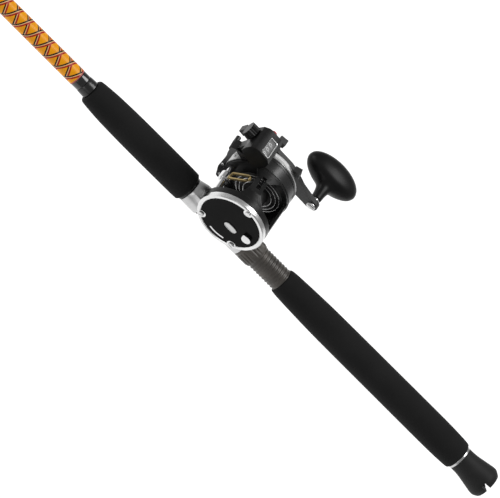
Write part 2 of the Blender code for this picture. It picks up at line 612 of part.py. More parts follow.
def add_crank():
    """The crank's shaft, star drag, arm, nut and paddle knob."""
    pivot = (0.0, *CRANK)
    shaft = [(22.6, 0.0), (22.6, 2.8), (66.2, 2.8), (66.2, 2.0), (71.0, 2.0), (71.0, 0.0)]
    add_piece("crank_shaft", turned("X", CRANK, shaft, COARSE), "steel", pivot)
    spokes = [STAR_BEARING + 2 * math.pi * i / STAR_POINTS for i in range(STAR_POINTS)]
    hub = disc("X", CRANK, 11.0, STAR_X[0], STAR_X[1] + 2.0, sides=30)
    star = add_piece("star_drag", hub, "black_satin", pivot)
    for spoke in spokes:
        root = on_circle(CRANK, 7.0, spoke)
        end = on_circle(CRANK, STAR_RADIUS - 1.0, spoke)
        tip = [on_circle(on_circle(CRANK, STAR_RADIUS, spoke), 5.8, spoke + math.radians(turn))
               for turn in (50, 130, 230, 310)]
        add_to(star, prism("X", bar_outline(root, 4.6, end, 2.6, 12), *STAR_X),
               prism("X", tip, STAR_X[0] + 0.2, STAR_X[1] + 4.6))
    cut_from(star, disc("X", CRANK, 3.1, STAR_X[0] - 1, STAR_X[1] + 3, sides=COARSE))
    upper = [at(place) for place in ((-52.0, -1.7), (-40.5, 1.2), (-32.4, 5.3), (-24.0, 9.6), (-14.0, 12.4))]
    lower = [at(place) for place in ((-10.0, -11.2), (-25.0, -14.2), (-40.0, -16.0))]
    hub_arc = arc(CRANK, 12.0, 118.0, -112.0, 17)
    end_arc = arc(KNOB, 6.8, 270.0, 84.0, 11)
    arm = add_piece("crank_arm", prism("X", end_arc + upper + hub_arc + lower, *ARM_X), "black_satin", pivot)
    cut_from(arm, disc("X", CRANK, 3.1, ARM_X[0] - 1, ARM_X[1] + 1, sides=COARSE),
             disc("X", KNOB, 2.3, ARM_X[0] - 1, ARM_X[1] + 1, sides=16))
    nut = [(66.5, 6.6), (69.6, 6.6), (72.4, 4.4)]
    add_piece("handle_nut", sleeve("X", CRANK, 2.3, nut, 24), "black_satin", pivot)
    stem = [(58.8, 0.0), (58.8, 2.6), (59.5, 4.6), (60.7, 4.9), (60.7, 2.0), (66.0, 2.0), (66.4, 4.6),
            (69.6, 4.6), (69.6, 2.0), (90.0, 2.0), (90.0, 0.0)]
    spindle = turned("X", KNOB, stem, 16)
    add_piece("knob_spindle", spindle, "steel", (0.0, *KNOB))
    # Half lengths of the paddle along Y and Z at each place along X
    sections = ((69.9, 5.0, 5.0), (72.0, 5.6, 5.6), (80.0, 6.4, 6.2), (86.0, 8.4, 7.2), (89.5, 13.5, 9.0),
                (92.5, 21.5, 11.3), (96.5, 28.0, 13.2), (101.5, 31.4, 14.0), (106.5, 32.0, 14.0),
                (112.0, 29.6, 13.0), (116.5, 23.5, 10.8), (119.5, 14.5, 7.2))
    rings = [[(121.0, *KNOB)]]
    for x, half_y, half_z in reversed(sections):
        oval = [(KNOB[0] + half_y * u, KNOB[1] + half_z * v) for u, v in circle((0.0, 0.0), 1.0, 24)]
        rings.append(place_outline("X", oval, x))
    bore = circle(KNOB, 2.4, 24)
    rings += [place_outline("X", bore, sections[0][0]), place_outline("X", bore, 90.6)]
    rings = [[Vector(point) for point in ring] for ring in rings] + [[Vector((90.6, *KNOB))]]
    add_piece("paddle_knob", skin(rings), "black_satin", (0.0, *KNOB))


def add_counter():
    """The line counter: its case, window, three wheels, reset button and setting knob."""
    corners = ((44.7, 35.9), (45.2, 44.0), (43.4, 51.2), (39.0, 55.4), (33.5, 56.5), (22.0, 54.6),
               (17.8, 50.6), (16.6, 44.5), (17.5, 34.9), (22.0, 31.4), (28.2, 30.2), (37.0, 31.6))
    shell = [at(place) for place in corners]
    middle = Vector(at((31.0, 43.4)))
    hollow = []
    for point in shell:
        inward = (middle - Vector(point)).normalized() * COUNTER_WALL
        hollow.append((point[0] + inward.x, point[1] + inward.y))
    case = add_piece("counter_case", prism("X", shell, *COUNTER_X), "black_satin")
    leg = [at(place) for place in ((38.0, 25.2), (45.4, 22.3), (44.0, 36.5), (36.0, 33.0))]
    add_to(case, prism("X", leg, 23.0, 32.5))
    cut_from(case, prism("X", hollow, COUNTER_X[0] + COUNTER_WALL, COUNTER_X[1] - COUNTER_WALL))
    window_y = at((23.4, 0.0))[0], at((31.9, 0.0))[0]
    window_x = (17.0, 36.6)
    cut_from(case, block(window_x, window_y, (REEL_Z + 50.0, REEL_Z + 60.0)))
    slope = math.tan((56.5 - 54.6) / (33.5 - 22.0))
    lens_y = (window_y[0] + GAP, window_y[1] - GAP)
    roof = [REEL_Z + 54.6 + slope * (y - at((22.0, 0.0))[0]) for y in lens_y]
    lens = [(lens_y[0], roof[0] - 1.2), (lens_y[1], roof[1] - 1.2), (lens_y[1], roof[1]),
            (lens_y[0], roof[0])]
    add_piece("counter_window", prism("X", lens, window_x[0] + GAP, window_x[1] - GAP), "clear")
    axis = at(WHEEL_AXIS)
    for number, name in enumerate(("ones", "tens", "hundreds")):
        start = WHEELS_START + (2 - number) * WHEEL_PITCH
        wheel = disc("X", axis, WHEEL_RADIUS, start, start + WHEEL_WIDTH, bore=2.0)
        add_piece(f"digit_wheel_{name}", wheel, "white", (0.0, *axis))
    button = at((31.5, 50.4))
    end = COUNTER_X[1]
    cap = [(end - 2.4, 0.0), (end - 2.4, 2.0), (end + GAP, 2.0), (end + GAP, 3.4), (end + 3.0, 3.4),
           (end + 3.6, 2.8), (end + 3.6, 0.0)]
    add_piece("reset_button", turned("X", button, cap, COARSE), "red", (end, *button))
    cut_from(case, disc("X", button, 3.7, end - 3, end + 1, sides=COARSE))
    knob = (at((0.0, 43.0))[1], 35.0)
    front = at((45.6, 0.0))[0]
    ribs = 40
    grip = [on_circle(knob, 8.0 if i % 2 else 7.4, 2 * math.pi * i / ribs) for i in range(ribs)]
    dial = add_piece("setting_knob", prism("Y", grip, front, front + 8.6), "black_satin",
                     (knob[1], front, knob[0]))
    add_to(dial, disc("Y", knob, 2.0, front - 3.6, front + 1.0, sides=16))
    cut_from(case, disc("Y", knob, 2.3, front - 3.9, front + 1.0, sides=16))


def clear_scene():
    """Removes what the scene holds."""
    for item in list(bpy.data.objects):
        bpy.data.objects.remove(item, do_unlink=True)


def main():
    """Builds every sub-part in order."""
    clear_scene()
    for build in (add_blank, add_handle, add_seat, add_guides, add_foot, add_frame, add_left_side, add_spool,
                  add_gears, add_level_wind, add_right_side, add_crank, add_counter):
        build()


main()
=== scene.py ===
"""Boat rod with a level-wind, line-counter reel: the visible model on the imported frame.

World frame: +Y runs along the rod to its tip, +Z points to the reel's side and +X to the crank's side.
Sizes in the code are millimetres, and meshes are made in metres.
"""

import json
import logging
import math
from collections.abc import Sequence
from dataclasses import dataclass, field
from enum import Enum
from typing import Any

import bmesh
import bpy
from mathutils import Matrix, Vector

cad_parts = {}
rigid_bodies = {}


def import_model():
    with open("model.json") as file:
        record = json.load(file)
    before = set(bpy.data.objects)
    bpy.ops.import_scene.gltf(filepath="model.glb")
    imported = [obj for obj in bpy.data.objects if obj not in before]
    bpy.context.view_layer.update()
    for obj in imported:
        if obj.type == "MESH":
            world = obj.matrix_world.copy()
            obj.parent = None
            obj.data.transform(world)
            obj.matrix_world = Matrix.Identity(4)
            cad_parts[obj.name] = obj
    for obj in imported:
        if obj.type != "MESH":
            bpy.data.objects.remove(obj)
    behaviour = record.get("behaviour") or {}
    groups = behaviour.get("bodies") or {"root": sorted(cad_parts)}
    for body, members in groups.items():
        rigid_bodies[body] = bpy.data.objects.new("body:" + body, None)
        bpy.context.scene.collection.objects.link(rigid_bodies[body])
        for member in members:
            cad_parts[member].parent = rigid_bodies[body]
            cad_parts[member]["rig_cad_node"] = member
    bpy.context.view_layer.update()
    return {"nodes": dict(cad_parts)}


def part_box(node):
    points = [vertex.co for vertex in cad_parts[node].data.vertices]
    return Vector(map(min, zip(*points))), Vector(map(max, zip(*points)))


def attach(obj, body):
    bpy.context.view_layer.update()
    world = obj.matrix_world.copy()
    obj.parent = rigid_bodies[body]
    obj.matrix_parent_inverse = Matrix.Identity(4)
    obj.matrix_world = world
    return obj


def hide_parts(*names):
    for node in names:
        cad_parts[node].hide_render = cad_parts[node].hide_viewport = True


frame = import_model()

MM = 0.001
FINE_SIDES = 72
USUAL_SIDES = 40
SHARP_ANGLE = math.radians(38.0)

Colour = tuple[float, float, float, float]
Point = tuple[float, float]
Ring = list[Vector]

log = logging.getLogger("rod_and_reel")


def grey(level: float, warmth: float = 0.0) -> Colour:
    """Gives a grey, warmed towards red where warmth is above 0."""
    return (level * (1 + warmth), level, level * (1 - warmth), 1.0)


class Axis(Enum):
    """The axis that a round or extruded piece runs along."""

    X = ((1, 0, 0), (0, 1, 0), (0, 0, 1))
    Y = ((0, 1, 0), (0, 0, 1), (1, 0, 0))
    Z = ((0, 0, 1), (1, 0, 0), (0, 1, 0))

    def point(self, along: float, u: float, v: float) -> Vector:
        """Gives the place at a distance along the axis and u, v across it."""
        first, second, third = (Vector(part) for part in self.value)
        return first * along + second * u + third * v


class Grain(Enum):
    """The way that a metal's brushing or turning marks run."""

    ROUND_X = "round the X axis"
    ROUND_Y = "round the Y axis"
    ALONG_X = "along X"
    ALONG_Y = "along Y"
    EVEN = "no direction"


# Shader nodes

class Wire:
    """An output socket that takes part in sums."""

    def __init__(self, board: "Board", socket: bpy.types.NodeSocket) -> None:
        """Keeps the board and the socket."""
        self.board = board
        self.socket = socket

    def __add__(self, other: "Wire | float") -> "Wire":
        """Adds."""
        return self.board.math("ADD", self, other)

    def __radd__(self, other: "Wire | float") -> "Wire":
        """Adds to a number on the left."""
        return self.board.math("ADD", other, self)

    def __sub__(self, other: "Wire | float") -> "Wire":
        """Subtracts."""
        return self.board.math("SUBTRACT", self, other)

    def __rsub__(self, other: "Wire | float") -> "Wire":
        """Subtracts from a number on the left."""
        return self.board.math("SUBTRACT", other, self)

    def __mul__(self, other: "Wire | float") -> "Wire":
        """Multiplies."""
        return self.board.math("MULTIPLY", self, other)

    def __rmul__(self, other: "Wire | float") -> "Wire":
        """Multiplies a number on the left."""
        return self.board.math("MULTIPLY", other, self)

    def __truediv__(self, other: "Wire | float") -> "Wire":
        """Divides."""
        return self.board.math("DIVIDE", self, other)

    def __rtruediv__(self, other: "Wire | float") -> "Wire":
        """Divides a number on the left."""
        return self.board.math("DIVIDE", other, self)

    def __pow__(self, other: float) -> "Wire":
        """Raises to a power."""
        return self.board.math("POWER", self, other)

    def __lt__(self, other: "Wire | float") -> "Wire":
        """Gives 1 where this is less, and 0 elsewhere."""
        return self.board.math("LESS_THAN", self, other)

    def __gt__(self, other: "Wire | float") -> "Wire":
        """Gives 1 where this is greater, and 0 elsewhere."""
        return self.board.math("GREATER_THAN", self, other)


class Board:
    """The node tree of one material."""

    def __init__(self, name: str) -> None:
        """Starts an empty tree in a new material."""
        self.material = bpy.data.materials.new(name)
        self.material.use_nodes = True
        self.tree = self.material.node_tree
        self.tree.nodes.clear()

    def node(self, kind: str, settings: dict[str, Any] | None = None,
             sockets: dict[str | int, Any] | None = None) -> bpy.types.Node:
        """Adds a node.

        Args:
            kind: The node's type.
            settings: The node's own properties, which are set first.
            sockets: A value or a Wire for each input, by name or number.

        Returns:
            The node.
        """
        made = self.tree.nodes.new(kind)
        for name, value in (settings or {}).items():
            setattr(made, name, value)
        for key, value in (sockets or {}).items():
            if isinstance(value, Wire):
                self.tree.links.new(value.socket, made.inputs[key])
            else:
                made.inputs[key].default_value = value
        return made

    def math(self, operation: str, *terms: "Wire | float") -> Wire:
        """Adds a Math node and gives its result."""
        made = self.node("ShaderNodeMath", {"operation": operation}, dict(enumerate(terms)))
        return Wire(self, made.outputs[0])

    def vector(self, operation: str, *terms: "Wire | Sequence[float]", output: str = "Vector") -> Wire:
        """Adds a Vector Math node and gives its result."""
        made = self.node("ShaderNodeVectorMath", {"operation": operation}, dict(enumerate(terms)))
        return Wire(self, made.outputs[output])

    def place(self) -> Wire:
        """Gives the place on the piece at rest, in metres."""
        return Wire(self, self.node("ShaderNodeTexCoord").outputs["Object"])

    def split(self, place: Wire) -> tuple[Wire, Wire, Wire]:
        """Splits a place into X, Y and Z."""
        made = self.node("ShaderNodeSeparateXYZ", sockets={0: place})
        return tuple(Wire(self, made.outputs[i]) for i in range(3))

    def join(self, x: "Wire | float", y: "Wire | float", z: "Wire | float") -> Wire:
        """Joins three values into a vector."""
        return Wire(self, self.node("ShaderNodeCombineXYZ", sockets={0: x, 1: y, 2: z}).outputs[0])

    def noise(self, place: Wire, scale: float, detail: float = 2.0) -> Wire:
        """Gives soft noise from 0 to 1."""
        made = self.node("ShaderNodeTexNoise", sockets={"Vector": place, "Scale": scale, "Detail": detail})
        return Wire(self, made.outputs[0])

    def cells(self, place: Wire, scale: float) -> Wire:
        """Gives the distance to the nearest of scattered points."""
        made = self.node("ShaderNodeTexVoronoi", sockets={"Vector": place, "Scale": scale})
        return Wire(self, made.outputs["Distance"])

    def between(self, value: Wire, low: float, high: float) -> Wire:
        """Maps low..high to 0..1 and holds the ends."""
        made = self.node("ShaderNodeMapRange", {"clamp": True},
                         {"Value": value, "From Min": low, "From Max": high})
        return Wire(self, made.outputs[0])

    def mix(self, share: "Wire | float", first: "Wire | Colour", second: "Wire | Colour") -> Wire:
        """Mixes two colours."""
        made = self.node("ShaderNodeMix", {"data_type": "RGBA"}, {0: share, 6: first, 7: second})
        return Wire(self, made.outputs[2])

    def bump(self, height: Wire, strength: float, depth: float) -> Wire:
        """Gives the normal of a height map whose full height is depth, in millimetres."""
        made = self.node("ShaderNodeBump", sockets={"Strength": strength, "Distance": depth * MM,
                                                    "Height": height})
        return Wire(self, made.outputs[0])

    def edges(self, width: float) -> Wire:
        """Gives a mask of the piece's edges, as wide as width in millimetres."""
        rounded = self.node("ShaderNodeBevel", {"samples": 4}, {"Radius": width * MM})
        plain = self.node("ShaderNodeNewGeometry")
        same = self.vector("DOT_PRODUCT", Wire(self, rounded.outputs[0]), Wire(self, plain.outputs["Normal"]),
                           output="Value")
        return self.between(same, 0.999, 0.9)

    def shade(self, **sockets: Any) -> bpy.types.Material:
        """Ends the tree in a Principled shader; a name's underscores stand for spaces."""
        named = {name.replace("_", " "): value for name, value in sockets.items()}
        shader = self.node("ShaderNodeBsdfPrincipled", sockets=named)
        self.node("ShaderNodeOutputMaterial", sockets={"Surface": Wire(self, shader.outputs[0])})
        return self.material


# Finishes

@dataclass(frozen=True)
class Finish:
    """A surface finish, named after the piece or stuff that it is for."""

    name: str
    slot: str

    def paint(self, board: Board) -> None:
        """Lays the finish's nodes on a board."""
        raise NotImplementedError

    def material(self) -> bpy.types.Material:
        """Gives the finish's material, which is made once."""
        found = bpy.data.materials.get(self.name)
        if found is None:
            board = Board(self.name)
            self.paint(board)
            found = board.material
        return found


@dataclass(frozen=True)
class Moulded(Finish):
    """Moulded plastic or painted metal: fine grain, faint clouds and rubbed edges."""

    colour: Colour
    tint: Colour
    roughness: float
    spread: float = 0.08
    metallic: float = 0.0
    grain: float = 2200.0
    depth: float = 0.03
    coat: float = 0.0
    sheen: float = 0.5
    worn: Colour | None = None

    def paint(self, board: Board) -> None:
        """Lays the finish's nodes on a board."""
        place = board.place()
        clouds = board.noise(place, 70.0, 3.0)
        grain = board.noise(place, self.grain)
        colour = board.mix(board.between(clouds, 0.3, 0.7), self.colour, self.tint)
        rough = self.roughness + (clouds - 0.5) * self.spread + (grain - 0.5) * self.spread
        if self.worn is not None:
            scuffs = board.between(board.noise(place, 320.0, 4.0), 0.45, 0.62)
            rubbed = board.edges(0.35) * scuffs * 0.6
            colour = board.mix(rubbed, colour, self.worn)
            rough = rough - rubbed * 0.1
        board.shade(Base_Color=colour, Roughness=rough, Metallic=self.metallic, Coat_Weight=self.coat,
                    Coat_Roughness=0.06, Specular_IOR_Level=self.sheen,
                    Normal=board.bump(grain, 0.35, self.depth))


@dataclass(frozen=True)
class Metal(Finish):
    """Bare or plated metal with brushing or turning marks."""

    colour: Colour
    tint: Colour
    roughness: float
    grain: Grain = Grain.EVEN
    lines: float = 2600.0
    depth: float = 0.012
    spread: float = 0.12
    centre: Point = (0.0, 0.0)

    def marks(self, board: Board, place: Wire) -> Wire:
        """Gives the height of the brushing marks.

        Args:
            board: The board to lay nodes on.
            place: The place on the piece.

        Returns:
            Noise that is drawn out along the grain.
        """
        x, y, z = board.split(place)
        slow = 0.02
        if self.grain is Grain.ROUND_X:
            across = board.math("SQRT", (y - self.centre[0] * MM) ** 2.0 + (z - self.centre[1] * MM) ** 2.0)
            drawn = board.join(x, across, (y + z) * slow)
        elif self.grain is Grain.ROUND_Y:
            drawn = board.join(board.math("SQRT", x ** 2.0 + z ** 2.0), y, (x + z) * slow)
        elif self.grain is Grain.ALONG_X:
            drawn = board.join(x * slow, y, z)
        elif self.grain is Grain.ALONG_Y:
            drawn = board.join(x, y * slow, z)
        else:
            drawn = place
        return board.noise(drawn, self.lines, 3.0)

    def paint(self, board: Board) -> None:
        """Lays the finish's nodes on a board."""
        place = board.place()
        marks = self.marks(board, place)
        smears = board.noise(place, 45.0, 3.0)
        colour = board.mix(board.between(marks * 0.6 + smears * 0.4, 0.3, 0.7), self.tint, self.colour)
        rough = self.roughness + (marks - 0.5) * self.spread + (smears - 0.5) * self.spread * 0.6
        board.shade(Base_Color=colour, Roughness=rough, Metallic=1.0,
                    Normal=board.bump(marks, 0.3, self.depth))


@dataclass(frozen=True)
class Foam(Finish):
    """Dense closed-cell foam: fine pores, a few larger pits and a dry sheen."""

    colour: Colour
    tint: Colour

    def paint(self, board: Board) -> None:
        """Lays the finish's nodes on a board."""
        place = board.place()
        pores = board.between(board.cells(place, 1500.0), 0.1, 0.5)
        pits = board.between(board.cells(place, 240.0), 0.03, 0.12)
        clouds = board.noise(place, 30.0, 4.0)
        # The colour is darker at the pore centres, where the height is lowest: painted shade in the pores.
        # The clouds add real tone that differs at random.
        colour = board.mix(board.between(clouds, 0.3, 0.7) * pores, self.colour, self.tint)
        height = pores * 0.6 + pits * 0.4
        board.shade(Base_Color=colour, Roughness=0.86 + (clouds - 0.5) * 0.12, Specular_IOR_Level=0.25,
                    Normal=board.bump(height, 0.5, 0.08))


@dataclass(frozen=True)
class Winding(Finish):
    """Thread wound side by side round the blank, under clear epoxy."""

    colour: Colour
    tint: Colour
    thread: float = 0.35

    def paint(self, board: Board) -> None:
        """Lays the finish's nodes on a board."""
        place = board.place()
        _, along, _ = board.split(place)
        ribs = board.math("PINGPONG", along * (1 / (self.thread * MM)), 0.5) * 2.0
        clouds = board.noise(place, 160.0, 3.0)
        # The darker tint where ribs is low is painted shade in the grooves between the turns; the clouds add
        # real tone that differs at random.
        colour = board.mix(board.between(ribs * 0.5 + clouds * 0.5, 0.3, 0.8), self.tint, self.colour)
        board.shade(Base_Color=colour, Roughness=0.3 + (clouds - 0.5) * 0.1, Coat_Weight=1.0,
                    Coat_Roughness=0.05, Normal=board.bump(ribs, 0.25, 0.05))


@dataclass(frozen=True)
class DiamondWrap(Finish):
    """A golden under-wrap crossed by two sets of three-colour spiral bands.

    Each set has two starts. A band is red, cream and black, in that order towards the tip.
    """

    lead: float = 30.2
    crossing_y: float = 628.8
    crossing_angle: float = -6.0
    starts: int = 2
    red_end: float = 0.125
    cream_end: float = 0.19
    band_end: float = 0.3
    edge_band: tuple[float, float] = (598.5, 840.6)
    gold: Colour = (1.0, 0.43, 0.001, 1.0)
    deep_gold: Colour = (0.86, 0.31, 0.001, 1.0)
    red: Colour = (0.42, 0.012, 0.006, 1.0)
    cream: Colour = (0.84, 0.52, 0.24, 1.0)
    black: Colour = (0.006, 0.003, 0.003, 1.0)
    pink: Colour = (0.48, 0.13, 0.12, 1.0)

    def bands(self, board: Board, below: Wire, along: Wire, turn: Wire) -> Wire:
        """Lays one set of bands over a colour.

        Args:
            board: The board to lay nodes on.
            below: The colour under the bands.
            along: Turns of the lead along the rod.
            turn: Turns round the rod, with its sign for the set's hand.

        Returns:
            The colour with the bands on it.
        """
        phase = (along + turn) * float(self.starts) + self.band_end / 2
        share = board.math("FRACT", phase + 500.0)
        colour = board.mix(share < self.band_end, below, self.black)
        colour = board.mix(share < self.cream_end, colour, self.cream)
        return board.mix(share < self.red_end, colour, self.red)

    def paint(self, board: Board) -> None:
        """Lays the finish's nodes on a board."""
        place = board.place()
        x, y, z = board.split(place)
        turn = board.math("ARCTAN2", x, z) / (2 * math.pi) - self.crossing_angle / 360.0
        along = (y - self.crossing_y * MM) / (self.lead * MM)
        clouds = board.noise(place, 220.0, 3.0)
        threads = board.noise(board.join(x * 0.1, y, z * 0.1), 5200.0, 2.0)
        colour = board.mix(board.between(threads * 0.5 + clouds * 0.5, 0.3, 0.7), self.deep_gold, self.gold)
        colour = self.bands(board, colour, along, 0.0 - turn)
        colour = self.bands(board, colour, along, turn)
        ends = (y < self.edge_band[0] * MM) + (y > self.edge_band[1] * MM)
        colour = board.mix(ends, colour, self.pink)
        board.shade(Base_Color=colour, Roughness=0.42 + (clouds - 0.5) * 0.1, Coat_Weight=0.15,
                    Coat_Roughness=0.2, Specular_IOR_Level=0.15, Normal=board.bump(threads, 0.2, 0.03))


@dataclass(frozen=True)
class ClearLens(Finish):
    """The clear window over the counter's wheels, with faint scratches."""

    def paint(self, board: Board) -> None:
        """Lays the finish's nodes on a board."""
        place = board.place()
        scratches = board.noise(board.vector("MULTIPLY", place, (1.0, 0.05, 1.0)), 3000.0, 2.0)
        board.shade(Base_Color=board.mix(scratches, grey(0.8), grey(0.95)), Roughness=0.04 + scratches * 0.04,
                    Alpha=0.12 + scratches * 0.03, Specular_IOR_Level=0.7)


def box_centre(node: str) -> Vector:
    """Gives the middle of a CAD node's box, in millimetres."""
    low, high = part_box(node)
    return (low + high) / (2 * MM)


REEL = (box_centre("left_bezel").y, box_centre("left_bezel").z)
SPOOL = (box_centre("spool").y, box_centre("spool").z)
CRANK = (box_centre("handle_nut").y, box_centre("handle_nut").z)
WORM = (box_centre("worm_shaft").y, box_centre("worm_shaft").z)
KNOB = (box_centre("knob_spindle").y, box_centre("knob_spindle").z)
WHEEL = (box_centre("digit_wheel_ones").y, box_centre("digit_wheel_ones").z)


class Finishes:
    """Every finish of the rod and the reel."""

    FOAM = Foam("eva_foam", "foam_grip", grey(0.0055), grey(0.011))
    RUBBER = Moulded("butt_rubber", "rubber", grey(0.008), grey(0.014), 0.62, grain=900.0, depth=0.06,
                     sheen=0.25)
    BLANK = Moulded("epoxy_blank", "blank", grey(0.004), grey(0.007), 0.16, 0.04, grain=160.0, depth=0.02,
                    coat=0.8, sheen=0.4)
    BLACK_GLOSS = Moulded("gloss_black", "gloss_black", grey(0.004), grey(0.008), 0.22, 0.06, depth=0.008,
                          coat=0.1, sheen=0.2)
    BLACK_SATIN = Moulded("satin_black", "satin_black", grey(0.003), grey(0.006), 0.34, 0.08, depth=0.015,
                          sheen=0.1, worn=grey(0.12))
    PLATE = Moulded("plate_black", "gloss_black", grey(0.002), grey(0.004), 0.2, 0.05, depth=0.006,
                    sheen=0.04, worn=grey(0.1))
    FRAME_GREY = Moulded("frame_anodised", "satin_black", grey(0.011), grey(0.018), 0.3, 0.08, 0.3,
                         depth=0.015, sheen=0.2, worn=grey(0.25))
    COUNTER = Moulded("counter_plastic", "gloss_black", grey(0.006), grey(0.011), 0.3, 0.08, depth=0.02,
                      sheen=0.2, worn=grey(0.1))
    GRIP_BLACK = Moulded("knob_plastic", "gloss_black", grey(0.004), grey(0.008), 0.36, 0.08, grain=1600.0,
                         depth=0.02, sheen=0.18)
    SEAT = Moulded("seat_composite", "graphite", grey(0.045, 0.10), grey(0.085, 0.12), 0.4, 0.12,
                   0.15, grain=900.0, depth=0.04, sheen=0.4, worn=grey(0.2, 0.08))
    WHEEL = Moulded("counter_wheel", "digit_white", grey(0.10), grey(0.14), 0.5, depth=0.01)
    FIGURE = Moulded("counter_figure", "digit_white", grey(0.95), grey(0.88), 0.5, depth=0.01)
    RED = Moulded("reset_red", "red", (0.55, 0.012, 0.015, 1.0), (0.42, 0.008, 0.012, 1.0), 0.3, coat=0.3)
    NYLON = Moulded("gear_nylon", "nylon", grey(0.6, 0.03), grey(0.5, 0.05), 0.5)
    FIBRE = Moulded("drag_fibre", "fibre", (0.2, 0.15, 0.1, 1.0), (0.1, 0.07, 0.05, 1.0), 0.8, grain=1200.0,
                    depth=0.1)
    CERAMIC = Moulded("ring_ceramic", "ceramic", grey(0.012), grey(0.02), 0.1, 0.03, depth=0.004)
    THREAD = Winding("guide_winding", "thread_wrap", grey(0.010), grey(0.003))
    GOLD_THREAD = Winding("gold_winding", "thread_wrap", (0.75, 0.33, 0.01, 1.0), (0.4, 0.16, 0.01, 1.0))
    WRAP = DiamondWrap("diamond_wrap", "thread_wrap")
    LENS = ClearLens("counter_lens", "lens")
    BEZEL = Metal("bezel_aluminium", "silver", grey(0.88), grey(0.6), 0.24, Grain.ROUND_X, centre=REEL)
    COVER = Metal("cover_aluminium", "silver", grey(0.78), grey(0.55), 0.26, Grain.ROUND_X, centre=REEL)
    TRIM = Metal("trim_aluminium", "silver", grey(0.78), grey(0.6), 0.22, Grain.ALONG_X)
    HOOD = Metal("hood_aluminium", "silver", grey(0.66), grey(0.5), 0.34, Grain.ROUND_Y)
    RING = Metal("ring_aluminium", "silver", grey(0.7), grey(0.5), 0.25, Grain.ROUND_Y)
    BADGE = Metal("badge_aluminium", "silver", grey(0.6), grey(0.42), 0.28, Grain.ALONG_Y)
    SCREW = Metal("screw_plated", "silver", grey(0.8), grey(0.6), 0.2)
    CHROME = Metal("chrome", "chrome", grey(0.82), grey(0.72), 0.1, spread=0.05, depth=0.004)
    STEEL = Metal("steel", "steel", grey(0.55), grey(0.4), 0.28, Grain.ALONG_X)
    TURNED = Metal("turned_steel", "steel", grey(0.75), grey(0.5), 0.2, Grain.ROUND_X, centre=SPOOL)
    GUIDE = Metal("guide_steel", "steel", grey(0.5), grey(0.38), 0.22)
    BRASS = Metal("brass", "brass", (0.62, 0.46, 0.2, 1.0), (0.42, 0.3, 0.12, 1.0), 0.26)


# Outlines and meshes

def on_circle(centre: Point, radius: float, degrees: float) -> Point:
    """Gives the point of a circle at an angle."""
    angle = math.radians(degrees)
    return centre[0] + radius * math.cos(angle), centre[1] + radius * math.sin(angle)


def circle(centre: Point, radius: float, sides: int) -> list[Point]:
    """Gives a round outline."""
    return [on_circle(centre, radius, 360.0 * i / sides) for i in range(sides)]


def slot_outline(centre: Point, along: float, across: float, slant: float = 0.0) -> list[Point]:
    """Gives a screw slot's outline from its half length and half width, turned by slant in radians."""
    cos, sin = math.cos(slant), math.sin(slant)
    corners = ((-along, -across), (along, -across), (along, across), (-along, across))
    return [(centre[0] + u * cos - v * sin, centre[1] + u * sin + v * cos) for u, v in corners]


def blend(first: Sequence[float], second: Sequence[float], share: float) -> tuple[float, ...]:
    """Gives the point at a share of the way from one point to another."""
    return tuple(a + (b - a) * share for a, b in zip(first, second))


def eased(path: Sequence[Point], reach: float, closed: bool = False, steps: int = 3) -> list[Point]:
    """Rounds the corners of a path.

    Args:
        path: The path's points.
        reach: How far from a corner its rounding starts.
        closed: Whether the last point joins the first.
        steps: How many pieces a rounding has.

    Returns:
        The rounded path.
    """
    made: list[Point] = []
    count = len(path)
    for i, corner in enumerate(path):
        if not closed and i in (0, count - 1):
            made.append(tuple(corner))
            continue
        ends = []
        for other in (path[i - 1], path[(i + 1) % count]):
            length = math.dist(corner, other)
            ends.append(blend(corner, other, min(0.45, reach / max(length, 1e-6))))
        for k in range(steps + 1):
            t = k / steps
            made.append(blend(blend(ends[0], corner, t), blend(corner, ends[1], t), t))
    return made


def curve_through(points: Sequence[Sequence[float]], steps: int) -> list[tuple[float, ...]]:
    """Runs a smooth curve through points.

    Args:
        points: The points that it passes.
        steps: How many pieces there are between two points.

    Returns:
        The curve's points, the given ones among them.
    """
    made = []
    last = len(points) - 1
    for i in range(last):
        before, start, end, after = (points[min(max(k, 0), last)] for k in range(i - 1, i + 3))
        for k in range(steps):
            t = k / steps
            made.append(tuple(
                0.5 * (2 * b + (c - a) * t + (2 * a - 5 * b + 4 * c - d) * t * t
                       + (3 * b - a - 3 * c + d) * t ** 3)
                for a, b, c, d in zip(before, start, end, after)))
    made.append(tuple(points[-1]))
    return made


def mesh_piece(name: str, rings: Sequence[Ring], loop: bool = False) -> bpy.types.Object:
    """Makes a closed surface through rings of points, in millimetres.

    Args:
        name: The piece's name.
        rings: Rings of as many points as each other; a ring of one point is a pole.
        loop: Whether the last ring joins the first.

    Returns:
        The piece, smooth but for its sharp edges.
    """
    starts, points = [], []
    for ring in rings:
        starts.append(len(points))
        points.extend(point * MM for point in ring)
    faces = []
    pairs = list(zip(range(len(rings)), range(1, len(rings)))) + ([(len(rings) - 1, 0)] if loop else [])
    for a, b in pairs:
        count = max(len(rings[a]), len(rings[b]))
        for i in range(count):
            j = (i + 1) % count
            corners = [starts[a] + i % len(rings[a]), starts[a] + j % len(rings[a]),
                       starts[b] + j % len(rings[b]), starts[b] + i % len(rings[b])]
            faces.append(list(dict.fromkeys(corners)))
    if not loop:
        faces += [[starts[k] + i for i in range(len(rings[k]))] for k in (0, -1) if len(rings[k]) > 2]
    data = bpy.data.meshes.new(name)
    data.from_pydata(points, [], faces)
    return tidy_piece(name, data)


def tidy_piece(name: str, data: bpy.types.Mesh) -> bpy.types.Object:
    """Links a mesh as an object, with its faces outward and its sharp edges marked."""
    work = bmesh.new()
    work.from_mesh(data)
    bmesh.ops.remove_doubles(work, verts=work.verts, dist=1e-6)
    bmesh.ops.recalc_face_normals(work, faces=work.faces)
    work.to_mesh(data)
    work.free()
    data.shade_smooth()
    data.set_sharp_from_angle(angle=SHARP_ANGLE)
    piece = bpy.data.objects.new(name, data)
    bpy.context.scene.collection.objects.link(piece)
    return piece


